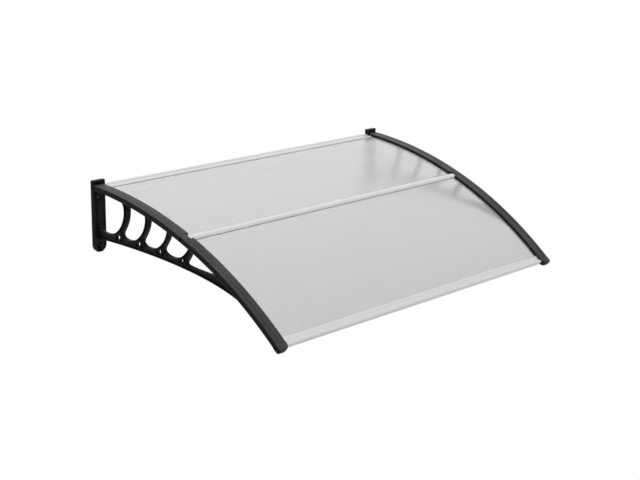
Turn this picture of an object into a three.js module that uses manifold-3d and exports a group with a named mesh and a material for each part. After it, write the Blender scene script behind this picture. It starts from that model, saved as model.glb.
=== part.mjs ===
// Window awning: two moulded brackets, a bent two-panel roof, three extruded rails, clamps and screws.
// Millimetres, +Z up, +Y into the wall.
// The origin is on the wall, in the middle of the rear rail's back face.
import * as THREE from 'three';
import { mergeVertices } from 'three/addons/utils/BufferGeometryUtils.js';
import Module from 'manifold-3d';

const wasm = await Module();
wasm.setup();

// Overall size and the bend of the roof
const AWNING_WIDTH = 1200; // over the outer sides of both brackets
const SHEET_RADIUS = 1200; // to the middle of the sheet's thickness
const WALL_SLOPE = THREE.MathUtils.degToRad(4.5); // fall of the sheet at the wall
const SHEET_THICKNESS = 3;
const REAR_PANEL_LENGTH = 357.5; // along the bend
const FRONT_PANEL_LENGTH = 401.5;

// Clearances
const CLEARANCE = 0.3; // between faces that bear on each other
const EDGE_GAP = 0.5; // from a panel's edge to what stops it
const SIDE_GAP = 1.2; // from a panel's side to the rim, for heat
const HOLE_CLEARANCE = 0.35; // around a screw, on the radius
const PANEL_HOLE_CLEARANCE = 1.2; // around a screw in the sheet, on the radius

// Beam of a bracket
const BEAM_WIDTH = 38;
const RIM_WIDTH = 15;
const RIM_RISE = 10.2; // above the middle of the sheet
const RIM_CHAMFER = 3.4;
const RIM_FOOT_CHAMFER = 2.5;
const LEDGE_THICKNESS = 3.5;
const MIDDLE_BOSS = 11.5; // past the rim, at the end of the middle rail
const TIP_LENGTH = 21;
const TIP_CORNER = 8;
const TIP_INNER_CORNER = 16;
const TIP_STEP = 0.4; // the tip stands proud of the beam by this much

// Wall plate of a bracket
const PLATE_WIDTH = 42.5;
const PLATE_THICKNESS = 12;
const PLATE_TOP = 21.5;
const PLATE_HEIGHT = 204;
const PLATE_BORDER = 4;
const PLATE_RECESS = 2;
const BOLT_HOLE_DIAMETER = 7;
const BOLT_SEAT_DIAMETER = 16;
const BOLT_SEAT_DEPTH = 4;
const UPPER_BOLT_DROP = 50; // below the plate's top

// Lattice under the beam
const LATTICE_DEPTH = 16;
const LATTICE_RIM = 3;
const WEB_THICKNESS = 5;
const RIB_COUNT = 4;
const RIB_RADIUS = 76; // hollow side
const RIB_THICKNESS = 13.4; // of the first rib, at its front
const RIB_THINNING = 1.5; // from each rib to the next one
const RIB_TAPER = 0.28; // share of its thickness that a rib loses towards its foot
const RIB_PITCH = 87.5;
const FIRST_RIB_REACH = 48; // from the wall to the first rib's centre
const LAST_RIB_SHIFT = 4; // the last rib stands further out by this much
const RIB_SINK = 0.5; // depth of a rib in the chord
const STRUT_REACH = 60; // from the first rib's centre to its strut
const STRUT_STEP = 4.5; // how much nearer the next rib's strut is
const STRUT_THICKNESS = 3;
const SLIT_LENGTH = 23; // from the first rib's strut back to the rear end of its slit
const SLIT_STEP = 1.3; // how much shorter the next rib's slit is
const SLIT_DEPTH = 6; // from a strut back to the point that a slit is drawn from
const SLIT_INSET = 0.5; // from a rib's foot and its strut to the slit between them
const CHORD_DEPTH = 9.5;
const CHORD_DROP = 142.8; // from the sheet at the wall to the chord's underside
const CHORD_ROOT_PULL = 140;
const CHORD_TIP_PULL = 141;
const CHORD_TIP_REACH = 620;
const LAST_BAY_REACH = 486;
const LAST_BAY_LIFT = 13; // rise of the last bay's floor over the chord, at its tip
const CORNER_SHARPNESS = 9;
const LAST_CORNER_SHARPNESS = 3.8;

// Clamps
const CLAMP_DROP = 0.3; // below the rim's top
const CLAMP_CHAMFER = 2.8;
const CLAMP_SCREW_INSET = 5.5; // from the beam's inner side

// Rails
const LIP_LENGTH = 16;
const LIP_THICKNESS = 2.8;
const LIP_EDGE = 1; // thickness at the lip's edge
const LIP_SLOPE = 2.6;
const LOWER_LIP_LENGTH = 12;
const LOWER_LIP_THICKNESS = 2.2;
const NOSE_LENGTH = 11;
const NOSE_RISE = 8;
const NOSE_DROP = 6;
const NOSE_ROUND = 2.5;
const NOSE_WALL = 1.6;
const MIDDLE_WEB = 2;
const MIDDLE_CROWN_WIDTH = 22;
const MIDDLE_CROWN_FLAT = 9; // width of the flat on top
const MIDDLE_CROWN_RISE = 7;
const MIDDLE_CROWN_EDGE = 0.8; // thickness at the crown's edges
const MIDDLE_HOLLOW_WIDTH = 3.6;
const MIDDLE_HOLLOW_HEIGHT = 1.8;
const MIDDLE_FLOOR = 1; // under the hollows
const MIDDLE_FOOT_WIDTH = 22;
const MIDDLE_FOOT_THICKNESS = 2.2;

// Screws
const RAIL_SCREW_DIAMETER = 2.9;
const RAIL_SCREW_GRIP = 14; // length inside the rail
const CLAMP_SCREW_DIAMETER = 3.5;
const CLAMP_SCREW_GRIP = 5; // length inside the clamp
const CLAMP_SCREW_COUNT = 3;
const SCREW_HEAD_DIAMETER = 7;
const SCREW_HEAD_HEIGHT = 2.4;
const SCREW_SOCKET_DIAMETER = 3;
const SCREW_SOCKET_DEPTH = 1.2;
const PLATE_SCREW_WEB = 14; // plastic left under a rail screw's head
const RIM_SCREW_WEB = 13.5;
const PORT_WALL = 1.6; // between a screw port and the hollows of a rail

// Fineness
const BEND_STEP = 33; // longest straight piece of the bend
const ROUND_STEPS = 12;
const BAY_POINTS = 28;
const SLIT_POINTS = 12;
const CHORD_STEPS = 28;
const LATTICE_TOP_STEPS = 20;
const SMALLEST_REACH = 0.1; // from an opening's centre to any of its bounds
const OVERLAP = 1; // how far a cutter, or a block that joins another, reaches past a face

// Derived places. Along the bend from the wall (s), off the sheet's middle (n), across from the middle (x)
const outer = -AWNING_WIDTH / 2;
const inner = outer + BEAM_WIDTH;
const rimInner = outer + RIM_WIDTH;
const bossInner = rimInner + MIDDLE_BOSS;
const plateInner = outer + PLATE_WIDTH;
const latticeFrom = outer + (BEAM_WIDTH - LATTICE_DEPTH) / 2;
const webFrom = outer + (BEAM_WIDTH - WEB_THICKNESS) / 2;
const sheetHalf = SHEET_THICKNESS / 2;
const seat = sheetHalf + CLEARANCE;
const beamBottom = -(seat + LEDGE_THICKNESS);
const beamRadius = SHEET_RADIUS + beamBottom;
const rearEdge = PLATE_THICKNESS + 2 * EDGE_GAP;
const middle = rearEdge + REAR_PANEL_LENGTH + EDGE_GAP + MIDDLE_WEB / 2;
const frontStart = middle + MIDDLE_WEB / 2 + EDGE_GAP;
const frontEdge = frontStart + FRONT_PANEL_LENGTH;
const rearStop = 2 * EDGE_GAP;
const frontStop = EDGE_GAP;
const clampGap = MIDDLE_CROWN_WIDTH / 2 + CLEARANCE;
const clampTop = RIM_RISE - CLAMP_DROP;
const clampScrewX = inner - CLAMP_SCREW_INSET;
const headSpace = SCREW_HEAD_DIAMETER / 2 + HOLE_CLEARANCE;
const bendCentre = new THREE.Vector2(Math.sin(WALL_SLOPE), -Math.cos(WALL_SLOPE)).multiplyScalar(SHEET_RADIUS);

const angleAt = (s) => WALL_SLOPE + s / SHEET_RADIUS;

function pointAt(s, n = 0) {
  const r = SHEET_RADIUS + n;
  return new THREE.Vector2(bendCentre.x - r * Math.sin(angleAt(s)), bendCentre.y + r * Math.cos(angleAt(s)));
}

// Frame on the bend: local y runs back to the wall along the sheet, local z stands off the sheet.
function stationMatrix(s) {
  const p = pointAt(s);
  return new THREE.Matrix4().makeRotationX(angleAt(s)).setPosition(0, p.x, p.y);
}

class Bend extends THREE.Curve {
  constructor(from, to) {
    super();
    this.from = from;
    this.to = to;
  }

  getPoint(t, target = new THREE.Vector3()) {
    const p = pointAt(THREE.MathUtils.lerp(this.from, this.to, t));
    return target.set(0, p.x, p.y);
  }
}

// Carries an (x, n) outline along the bend.
function alongBend(outline, from, to) {
  const shape = new THREE.Shape(outline.map(([x, n]) => new THREE.Vector2(-x, -n)));
  const steps = Math.max(2, Math.ceil((to - from) / BEND_STEP));
  return new THREE.ExtrudeGeometry(shape, { steps, extrudePath: new Bend(from, to), bevelEnabled: false });
}

// Extrudes a (y, z) shape from x0 to x1.
function acrossX(shape, x0, x1) {
  const options = { depth: x1 - x0, bevelEnabled: false, curveSegments: ROUND_STEPS };
  const geometry = new THREE.ExtrudeGeometry(shape, options);
  const turn = new THREE.Matrix4().makeBasis(
    new THREE.Vector3(0, 1, 0), new THREE.Vector3(0, 0, 1), new THREE.Vector3(1, 0, 0));
  return geometry.applyMatrix4(turn.setPosition(x0, 0, 0));
}

// Round rod between two x values, with its axis at (y, z).
function rodX(diameter, x0, x1, y, z) {
  const rod = new THREE.CylinderGeometry(diameter / 2, diameter / 2, x1 - x0, ROUND_STEPS);
  return rod.rotateZ(Math.PI / 2).translate((x0 + x1) / 2, y, z);
}

// Round rod between two z values, with its axis at x.
function rodZ(diameter, z0, z1, x) {
  const rod = new THREE.CylinderGeometry(diameter / 2, diameter / 2, z1 - z0, ROUND_STEPS);
  return rod.rotateX(Math.PI / 2).translate(x, 0, (z0 + z1) / 2);
}

function box(x0, x1, y0, y1, z0, z1) {
  const block = new THREE.BoxGeometry(x1 - x0, y1 - y0, z1 - z0);
  return block.translate((x0 + x1) / 2, (y0 + y1) / 2, (z0 + z1) / 2);
}

function solid(geometry) {
  geometry.deleteAttribute('normal');
  geometry.deleteAttribute('uv');
  const merged = mergeVertices(geometry, 1e-4);
  return new wasm.Manifold(new wasm.Mesh({
    numProp: 3,
    vertProperties: new Float32Array(merged.getAttribute('position').array),
    triVerts: new Uint32Array(merged.getIndex().array),
  }));
}

const union = (geometries) => geometries.map(solid).reduce((a, b) => a.add(b));
const cut = (body, geometries) => geometries.map(solid).reduce((a, b) => a.subtract(b), body);

function geometryOf(body) {
  const mesh = body.getMesh();
  const geometry = new THREE.BufferGeometry();
  geometry.setAttribute('position', new THREE.BufferAttribute(new Float32Array(mesh.vertProperties), 3));
  geometry.setIndex(new THREE.BufferAttribute(new Uint32Array(mesh.triVerts), 1));
  const flat = geometry.toNonIndexed();
  flat.computeVertexNormals();
  return flat;
}

// Lattice outlines. Each opening is seen from one point inside it. Along a ray the nearest bound ends the
// opening, and a soft minimum of the distances rounds the corners. A negative inset grows the opening.
const within = (c, r) => (o, d, inset) => {
  const e = o.clone().sub(c);
  const b = e.dot(d);
  return Math.sqrt(Math.max(0, b * b - e.lengthSq() + (r - inset) ** 2)) - b;
};

const outside = (c, r) => (o, d, inset) => {
  const e = o.clone().sub(c);
  const b = e.dot(d);
  const root = b * b - e.lengthSq() + (r + inset) ** 2;
  return b < 0 && root > 0 ? -b - Math.sqrt(root) : Infinity;
};

const above = (p, q) => (o, d, inset) => {
  const normal = q.clone().sub(p).rotateAround(new THREE.Vector2(), -Math.PI / 2).normalize();
  const rate = -normal.dot(d);
  return rate > 0 ? (normal.dot(o.clone().sub(p)) - inset) / rate : Infinity;
};

const ahead = (reach) => (o, d, inset) => (d.x > 0 ? (-reach - inset - o.x) / d.x : Infinity);
const behind = (reach) => (o, d, inset) => (d.x < 0 ? (o.x + reach - inset) / -d.x : Infinity);

function outlineOf(opening, inset) {
  const power = opening.sharpness;
  return Array.from({ length: opening.points }, (_, k) => {
    const d = new THREE.Vector2(1, 0).rotateAround(new THREE.Vector2(), (2 * Math.PI * k) / opening.points);
    const distance = (bound) => bound(opening.centre, d, inset + opening.inset);
    const distances = opening.bounds.map((bound) => Math.max(distance(bound), SMALLEST_REACH));
    const sum = distances.reduce((total, reach) => total + reach ** -power, 0);
    return opening.centre.clone().addScaledVector(d, sum ** (-1 / power));
  });
}

// Lower chord: leaves the plate level and runs into the beam's underside along its slope.
const reachOnBeam = (reach) => {
  const sin = (reach + bendCentre.x) / beamRadius;
  return new THREE.Vector2(-reach, bendCentre.y + beamRadius * Math.sqrt(1 - sin * sin));
};
const chordTip = reachOnBeam(CHORD_TIP_REACH);
const chordTipSlope = Math.asin((CHORD_TIP_REACH + bendCentre.x) / beamRadius);
const chordTipHeading = new THREE.Vector2(Math.cos(chordTipSlope), Math.sin(chordTipSlope));
const chordCurve = new THREE.CubicBezierCurve(
  new THREE.Vector2(-PLATE_THICKNESS, -CHORD_DROP),
  new THREE.Vector2(-PLATE_THICKNESS - CHORD_ROOT_PULL, -CHORD_DROP),
  chordTip.clone().addScaledVector(chordTipHeading, CHORD_TIP_PULL),
  chordTip,
);
const chordLow = chordCurve.getPoints(CHORD_STEPS);

// Point on the chord's upper edge at a distance from the wall.
function chordTop(reach) {
  const k = Math.max(1, chordLow.findIndex((p) => -p.x >= reach));
  const [p, q] = [chordLow[k - 1], chordLow[k]];
  return new THREE.Vector2(-reach, THREE.MathUtils.mapLinear(-reach, p.x, q.x, p.y, q.y) + CHORD_DEPTH);
}

// Ribs from the wall outwards. A rib's back has a higher centre and a larger radius than its hollow side.
const ribs = Array.from({ length: RIB_COUNT }, (_, i) => {
  const reach = FIRST_RIB_REACH + i * RIB_PITCH + (i === RIB_COUNT - 1 ? LAST_RIB_SHIFT : 0);
  const strut = reach + STRUT_REACH - i * STRUT_STEP;
  const thickness = RIB_THICKNESS - i * RIB_THINNING;
  const backRadius = RIB_RADIUS + thickness;
  const backCentre = new THREE.Vector2(-reach, chordTop(reach).y + backRadius - RIB_SINK);
  const centre = new THREE.Vector2(-reach, backCentre.y - RIB_TAPER * thickness);
  return { reach, centre, backCentre, backRadius, strut };
});
const ribBack = (rib) => outside(rib.backCentre, rib.backRadius);
const strutFront = (rib) => rib.strut + STRUT_THICKNESS / 2;
const strutRear = (rib) => rib.strut - STRUT_THICKNESS / 2;

const bays = Array.from({ length: RIB_COUNT + 1 }, (_, i) => {
  const rearRib = ribs[i - 1];
  const frontRib = ribs[i];
  const from = rearRib ? rearRib.reach + rearRib.backRadius : PLATE_THICKNESS;
  const to = frontRib ? frontRib.reach + RIB_RADIUS : LAST_BAY_REACH;
  const reach = (from + to) / 2;
  const floorFrom = chordTop(rearRib ? strutFront(rearRib) : PLATE_THICKNESS);
  const floorTo = chordTop(to).add(new THREE.Vector2(0, frontRib ? 0 : LAST_BAY_LIFT));
  const bounds = [within(bendCentre, beamRadius), above(floorFrom, floorTo)];
  bounds.push(...(rearRib ? [ribBack(rearRib), ahead(strutFront(rearRib))] : [ahead(PLATE_THICKNESS)]));
  bounds.push(frontRib ? within(frontRib.centre, RIB_RADIUS) : behind(LAST_BAY_REACH));
  const centre = new THREE.Vector2(-reach, (reachOnBeam(reach).y + chordTop(reach).y) / 2);
  const sharpness = frontRib ? CORNER_SHARPNESS : LAST_CORNER_SHARPNESS;
  return { centre, bounds, points: BAY_POINTS, inset: 0, sharpness };
});

const slits = ribs.map((rib, i) => {
  const reach = strutRear(rib) - SLIT_DEPTH;
  const ribLow = rib.backCentre.y - Math.sqrt(rib.backRadius ** 2 - (reach - rib.reach) ** 2);
  const floor = above(chordTop(rib.reach), chordTop(strutRear(rib)));
  const rear = strutRear(rib) - SLIT_LENGTH + i * SLIT_STEP;
  const bounds = [ribBack(rib), behind(strutRear(rib)), floor, ahead(rear)];
  const centre = new THREE.Vector2(-reach, (ribLow + chordTop(reach).y) / 2);
  return { centre, bounds, points: SLIT_POINTS, inset: SLIT_INSET, sharpness: CORNER_SHARPNESS };
});

// Outline of the whole lattice, sunk into the plate and the beam.
function latticeShape() {
  const sunk = LEDGE_THICKNESS / 2;
  const last = Math.asin((CHORD_TIP_REACH + bendCentre.x) / beamRadius);
  const top = Array.from({ length: LATTICE_TOP_STEPS + 1 }, (_, k) => {
    const angle = THREE.MathUtils.lerp(last, WALL_SLOPE, k / LATTICE_TOP_STEPS);
    const r = beamRadius + sunk;
    return new THREE.Vector2(bendCentre.x - r * Math.sin(angle), bendCentre.y + r * Math.cos(angle));
  });
  top[top.length - 1].x = -PLATE_THICKNESS / 2;
  return new THREE.Shape([new THREE.Vector2(-PLATE_THICKNESS / 2, -CHORD_DROP), ...chordLow, ...top]);
}

function chordFlangeShape() {
  const high = chordLow.map((p, k) => {
    const t = chordCurve.getTangent(k / (chordLow.length - 1));
    return new THREE.Vector2(p.x + t.y * LATTICE_RIM, p.y - t.x * LATTICE_RIM);
  });
  const sunk = (p) => new THREE.Vector2(-PLATE_THICKNESS / 2, p.y);
  return new THREE.Shape([sunk(chordLow[0]), ...chordLow, ...high.reverse(), sunk(high[high.length - 1])]);
}

function lattice() {
  const openings = [...bays, ...slits];
  const latticeTo = latticeFrom + LATTICE_DEPTH;
  const opened = (inset, x0, x1) => openings.map((o) => acrossX(new THREE.Shape(outlineOf(o, inset)), x0, x1));
  const body = union([
    acrossX(latticeShape(), webFrom, webFrom + WEB_THICKNESS),
    acrossX(chordFlangeShape(), latticeFrom, latticeTo),
    ...opened(-LATTICE_RIM, latticeFrom, latticeTo),
  ]);
  return cut(body, opened(0, outer, inner));
}

// Wall plate outline, seen from the front, inset by a border.
function plateShape(inset) {
  const r = PLATE_WIDTH / 2;
  const x = outer + r;
  const low = PLATE_TOP - PLATE_HEIGHT + r;
  const shape = new THREE.Shape();
  shape.moveTo(x + r - inset, PLATE_TOP - inset);
  shape.lineTo(x - r + inset, PLATE_TOP - inset);
  shape.absarc(x, low, r - inset, Math.PI, 2 * Math.PI, false);
  return shape;
}

// Extrudes a wall plate outline outwards from the wall, between two distances.
function offWall(shape, from, to) {
  const options = { depth: to - from, bevelEnabled: false, curveSegments: ROUND_STEPS };
  const geometry = new THREE.ExtrudeGeometry(shape, options);
  const turn = new THREE.Matrix4().makeBasis(
    new THREE.Vector3(1, 0, 0), new THREE.Vector3(0, 0, 1), new THREE.Vector3(0, -1, 0));
  return geometry.applyMatrix4(turn.setPosition(0, -from, 0));
}

const boltHeights = [PLATE_TOP - UPPER_BOLT_DROP, PLATE_TOP - PLATE_HEIGHT + PLATE_WIDTH / 2];

function boltHoles() {
  const x = outer + PLATE_WIDTH / 2;
  const disc = (diameter, z) => new THREE.Shape().absarc(x, z, diameter / 2, 0, 2 * Math.PI);
  return boltHeights.flatMap((z) => [
    offWall(disc(BOLT_HOLE_DIAMETER, z), -OVERLAP, PLATE_THICKNESS + OVERLAP),
    offWall(disc(BOLT_SEAT_DIAMETER, z), PLATE_THICKNESS - BOLT_SEAT_DEPTH, PLATE_THICKNESS + LATTICE_RIM),
  ]);
}

// Rail screws: where the port of each rail lies, how deep the head sits and where the rail ends.
const crownMiddle = (seat + MIDDLE_CROWN_RISE) / 2;
const railEnds = [
  { name: 'rear', s: rearEdge, y: rearStop + NOSE_LENGTH / 2, n: 0, rail: plateInner, web: PLATE_SCREW_WEB },
  { name: 'middle', s: middle, y: 0, n: crownMiddle, rail: bossInner, web: RIM_SCREW_WEB },
  { name: 'front', s: frontEdge, y: -frontStop - NOSE_LENGTH / 2, n: 0, rail: inner, web: PLATE_SCREW_WEB },
];

function railScrewHoles() {
  const hole = RAIL_SCREW_DIAMETER + 2 * HOLE_CLEARANCE;
  return railEnds.flatMap((e) => [
    rodX(hole, e.rail - e.web - OVERLAP, e.rail + OVERLAP, e.y, e.n).applyMatrix4(stationMatrix(e.s)),
    rodX(2 * headSpace, outer - OVERLAP, e.rail - e.web, e.y, e.n).applyMatrix4(stationMatrix(e.s)),
  ]);
}

const clampSpans = [
  { name: 'rear', from: rearEdge, to: middle - clampGap },
  { name: 'front', from: middle + clampGap, to: frontEdge },
];
const shares = Array.from({ length: CLAMP_SCREW_COUNT }, (_, k) => (k + 0.5) / CLAMP_SCREW_COUNT);
const clampScrewPlaces = (span) => shares.map((share) => THREE.MathUtils.lerp(span.from, span.to, share));

function clampScrewHoles(clearance, from, to) {
  const diameter = CLAMP_SCREW_DIAMETER + 2 * clearance;
  const hole = (s) => rodZ(diameter, from, to, clampScrewX).applyMatrix4(stationMatrix(s));
  return clampSpans.map((span) => clampScrewPlaces(span).map(hole));
}

function beamGeometry() {
  return alongBend([
    [outer, beamBottom + RIM_FOOT_CHAMFER],
    [outer + RIM_FOOT_CHAMFER, beamBottom],
    [inner, beamBottom],
    [inner, -seat],
    [rimInner, -seat],
    [rimInner, RIM_RISE],
    [outer + RIM_CHAMFER, RIM_RISE],
    [outer + RIM_CHAMFER / 3, RIM_RISE - RIM_CHAMFER / 3],
    [outer, RIM_RISE - RIM_CHAMFER],
  ], PLATE_THICKNESS / 2, frontEdge + TIP_LENGTH / 4);
}

// Block at the front end of a beam, with a large corner towards the front rail.
function tipGeometry() {
  const tip = new THREE.Shape();
  const end = -EDGE_GAP - TIP_LENGTH;
  tip.moveTo(inner, -EDGE_GAP);
  tip.lineTo(outer, -EDGE_GAP);
  tip.lineTo(outer, end + TIP_CORNER);
  tip.absarc(outer + TIP_CORNER, end + TIP_CORNER, TIP_CORNER, Math.PI, 1.5 * Math.PI);
  tip.absarc(inner - TIP_INNER_CORNER, end + TIP_INNER_CORNER, TIP_INNER_CORNER, 1.5 * Math.PI, 2 * Math.PI);
  const depth = RIM_RISE - beamBottom + 2 * TIP_STEP;
  const block = new THREE.ExtrudeGeometry(tip, { depth, bevelEnabled: false, curveSegments: ROUND_STEPS / 2 });
  return block.translate(0, 0, beamBottom - TIP_STEP).applyMatrix4(stationMatrix(frontEdge));
}

// Block on the rim that the middle rail ends against, above the panels.
function bossGeometry() {
  const half = MIDDLE_CROWN_WIDTH / 2;
  return box(rimInner - OVERLAP, bossInner, -half, half, seat, clampTop).applyMatrix4(stationMatrix(middle));
}

function plateBody() {
  const recess = offWall(plateShape(PLATE_BORDER), PLATE_THICKNESS - PLATE_RECESS, PLATE_THICKNESS + OVERLAP);
  return cut(solid(offWall(plateShape(0), 0, PLATE_THICKNESS)), [recess]);
}

function bracketBody() {
  const body = union([beamGeometry(), tipGeometry(), bossGeometry()]).add(plateBody()).add(lattice());
  const ledgeHoles = clampScrewHoles(HOLE_CLEARANCE, beamBottom - OVERLAP, 0).flat();
  return geometryOf(cut(body, [...boltHoles(), ...railScrewHoles(), ...ledgeHoles]));
}

function clampBody(k) {
  const span = clampSpans[k];
  const from = rimInner + CLEARANCE;
  const strip = alongBend([
    [from, seat],
    [inner, seat],
    [inner, clampTop - CLAMP_CHAMFER],
    [inner - CLAMP_CHAMFER / 3, clampTop - CLAMP_CHAMFER / 3],
    [inner - CLAMP_CHAMFER, clampTop],
    [from, clampTop],
  ], span.from, span.to);
  const depth = sheetHalf + CLAMP_SCREW_GRIP + 2 * CLEARANCE;
  return geometryOf(cut(solid(strip), clampScrewHoles(HOLE_CLEARANCE, 0, depth)[k]));
}

function panelBody(k) {
  const [from, to] = [[rearEdge, rearEdge + REAR_PANEL_LENGTH], [frontStart, frontEdge]][k];
  const half = -rimInner - SIDE_GAP;
  const section = [[-half, -sheetHalf], [half, -sheetHalf], [half, sheetHalf], [-half, sheetHalf]];
  const sheet = alongBend(section, from, to);
  const left = clampScrewHoles(PANEL_HOLE_CLEARANCE, -SHEET_THICKNESS, SHEET_THICKNESS)[k];
  const right = left.map((hole) => hole.clone().translate(-2 * clampScrewX, 0, 0));
  return geometryOf(cut(solid(sheet), [...left, ...right]));
}

const ring = (y, n, diameter) => new THREE.Path().absarc(y, n, diameter / 2, 0, 2 * Math.PI);

// Rectangle about a y, between two heights.
function pane(y, width, n0, n1) {
  const [y0, y1] = [y - width / 2, y + width / 2];
  return new THREE.Path([[y0, n0], [y1, n0], [y1, n1], [y0, n1]].map(([u, v]) => new THREE.Vector2(u, v)));
}

// Section of an edge rail, in (y, n) of its station. d runs out from the panel's edge, and sign turns it to y.
function edgeRailShape(sign, stop, back) {
  const lip = seat + LIP_THICKNESS;
  const section = [
    [-LIP_LENGTH, seat],
    [stop, seat],
    [stop, -seat],
    [-LOWER_LIP_LENGTH, -seat],
    [-LOWER_LIP_LENGTH, -seat - LOWER_LIP_THICKNESS],
    [stop, -seat - LOWER_LIP_THICKNESS],
    [stop, -NOSE_DROP],
    [back(-NOSE_DROP), -NOSE_DROP],
    [back(NOSE_RISE - NOSE_ROUND), NOSE_RISE - NOSE_ROUND],
    [back(NOSE_RISE) - NOSE_ROUND / 3, NOSE_RISE - NOSE_ROUND / 3],
    [back(NOSE_RISE) - NOSE_ROUND, NOSE_RISE],
    [stop + NOSE_RISE - lip, NOSE_RISE],
    [stop, lip],
    [-LIP_LENGTH + LIP_SLOPE, lip],
    [-LIP_LENGTH, seat + LIP_EDGE],
  ];
  const points = section.map(([d, n]) => new THREE.Vector2(sign * d, n));
  return new THREE.Shape(sign > 0 ? points : points.reverse());
}

function edgeRail(sign, stop, back, end) {
  const shape = edgeRailShape(sign, stop, back);
  const port = RAIL_SCREW_DIAMETER + 2 * CLEARANCE;
  const y = sign * (stop + NOSE_LENGTH / 2);
  shape.holes.push(ring(y, 0, port));
  shape.holes.push(pane(y, NOSE_LENGTH - 3 * NOSE_WALL, -NOSE_DROP + NOSE_WALL, -port / 2 - PORT_WALL));
  return acrossX(shape, end, -end);
}

function middleRailBody() {
  const half = MIDDLE_CROWN_WIDTH / 2;
  const foot = MIDDLE_FOOT_WIDTH / 2;
  const web = MIDDLE_WEB / 2;
  const right = [
    [foot, -seat - MIDDLE_FOOT_THICKNESS],
    [foot, -seat],
    [web, -seat],
    [web, seat],
    [half, seat],
    [half, seat + MIDDLE_CROWN_EDGE],
    [MIDDLE_CROWN_FLAT / 2, MIDDLE_CROWN_RISE],
  ];
  const left = right.map(([y, n]) => [-y, n]).reverse();
  const shape = new THREE.Shape([...right, ...left].map(([y, n]) => new THREE.Vector2(y, n)));
  const port = RAIL_SCREW_DIAMETER + 2 * CLEARANCE;
  const n = railEnds[1].n;
  shape.holes.push(ring(0, n, port));
  const floor = seat + MIDDLE_FLOOR;
  for (const sign of [-1, 1]) {
    const y = sign * (port / 2 + PORT_WALL + MIDDLE_HOLLOW_WIDTH / 2);
    shape.holes.push(pane(y, MIDDLE_HOLLOW_WIDTH, floor, floor + MIDDLE_HOLLOW_HEIGHT));
  }
  const end = bossInner + CLEARANCE;
  const low = -seat - MIDDLE_FOOT_THICKNESS - OVERLAP;
  const notch = (x0, x1) => box(x0, x1, -foot - OVERLAP, foot + OVERLAP, low, -sheetHalf);
  const clear = inner + CLEARANCE;
  const notches = [notch(end - OVERLAP, clear), notch(-clear, -end + OVERLAP)];
  return geometryOf(cut(solid(acrossX(shape, end, -end)), notches));
}

// Screw along +z from the underside of its head, which hangs below zero.
function screwGeometry(diameter, length) {
  const r = SCREW_HEAD_DIAMETER / 2;
  const h = SCREW_HEAD_HEIGHT;
  const socket = SCREW_SOCKET_DIAMETER / 2;
  const points = [
    [0, -h + SCREW_SOCKET_DEPTH],
    [socket, -h + SCREW_SOCKET_DEPTH],
    [socket, -h],
    [r - h / 3, -h],
    [r, -h / 2],
    [r, 0],
    [diameter / 2, 0],
    [diameter / 2, length - diameter / 2],
    [0, length],
  ].map(([x, y]) => new THREE.Vector2(x, y));
  return new THREE.LatheGeometry(points, ROUND_STEPS - 2).rotateX(Math.PI / 2);
}

// Finishes
const finish = (color, roughness, metalness) => new THREE.MeshStandardMaterial({ color, roughness, metalness });
const blackPlastic = () => finish(0x1a1a1b, 0.5, 0);
const clampPlastic = () => finish(0x2b2b2d, 0.45, 0);
const clearSheet = () => Object.assign(finish(0xd2d5d6, 0.2, 0), { transparent: true, opacity: 0.5 });
const aluminium = () => finish(0xd8dadb, 0.35, 0.9);
const steel = () => finish(0x9a9c9e, 0.3, 1);

const awning = new THREE.Group();
awning.name = 'window_awning';

function addMesh(parent, name, geometry, material) {
  const mesh = new THREE.Mesh(geometry, material);
  mesh.name = name;
  parent.add(mesh);
  return mesh;
}

function addSide(side, mirror) {
  const group = new THREE.Group();
  group.scale.x = mirror;
  awning.add(group);
  addMesh(group, `${side}_bracket`, bracketBody(), blackPlastic());
  clampSpans.forEach((span, k) => {
    addMesh(group, `${side}_${span.name}_clamp`, clampBody(k), clampPlastic());
    const length = sheetHalf + CLAMP_SCREW_GRIP - beamBottom + CLEARANCE;
    clampScrewPlaces(span).forEach((s, i) => {
      const screw = screwGeometry(CLAMP_SCREW_DIAMETER, length);
      screw.translate(clampScrewX, 0, beamBottom - CLEARANCE).applyMatrix4(stationMatrix(s));
      addMesh(group, `${side}_${span.name}_clamp_screw_${i + 1}`, screw, steel());
    });
  });
  for (const e of railEnds) {
    const screw = screwGeometry(RAIL_SCREW_DIAMETER, e.web + RAIL_SCREW_GRIP);
    screw.rotateY(Math.PI / 2).translate(e.rail - e.web - CLEARANCE, e.y, e.n);
    addMesh(group, `${side}_${e.name}_rail_screw`, screw.applyMatrix4(stationMatrix(e.s)), steel());
  }
}

addSide('left', 1);
addSide('right', -1);
addMesh(awning, 'rear_panel', panelBody(0), clearSheet());
addMesh(awning, 'front_panel', panelBody(1), clearSheet());

// The rear rail's back is upright, so that it lies flat on the wall.
const rearAngle = angleAt(rearEdge);
const wallDistance = (n) => (-pointAt(rearEdge).x + n * Math.sin(rearAngle)) / Math.cos(rearAngle);
const rearRail = edgeRail(1, rearStop, wallDistance, plateInner + CLEARANCE);
addMesh(awning, 'rear_rail', rearRail.applyMatrix4(stationMatrix(rearEdge)), aluminium());
const frontRail = edgeRail(-1, frontStop, () => frontStop + NOSE_LENGTH, inner + CLEARANCE);
addMesh(awning, 'front_rail', frontRail.applyMatrix4(stationMatrix(frontEdge)), aluminium());
addMesh(awning, 'middle_rail', middleRailBody().applyMatrix4(stationMatrix(middle)), aluminium());

export default awning;
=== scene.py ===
"""Looks of a window awning: moulded brackets, a bent two-panel roof, extruded rails, clamp strips and screws.

Metres, +Z up, +Y into the wall. The roof follows one circle about an axis along X. A place on it is given by
x, across from the middle, s, along the bend from the wall, and n, off the middle of the sheet's thickness.
"""

import logging
import math
from collections.abc import Callable, Mapping, Sequence
from dataclasses import dataclass, field
from enum import Enum
from typing import Any, Protocol

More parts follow.
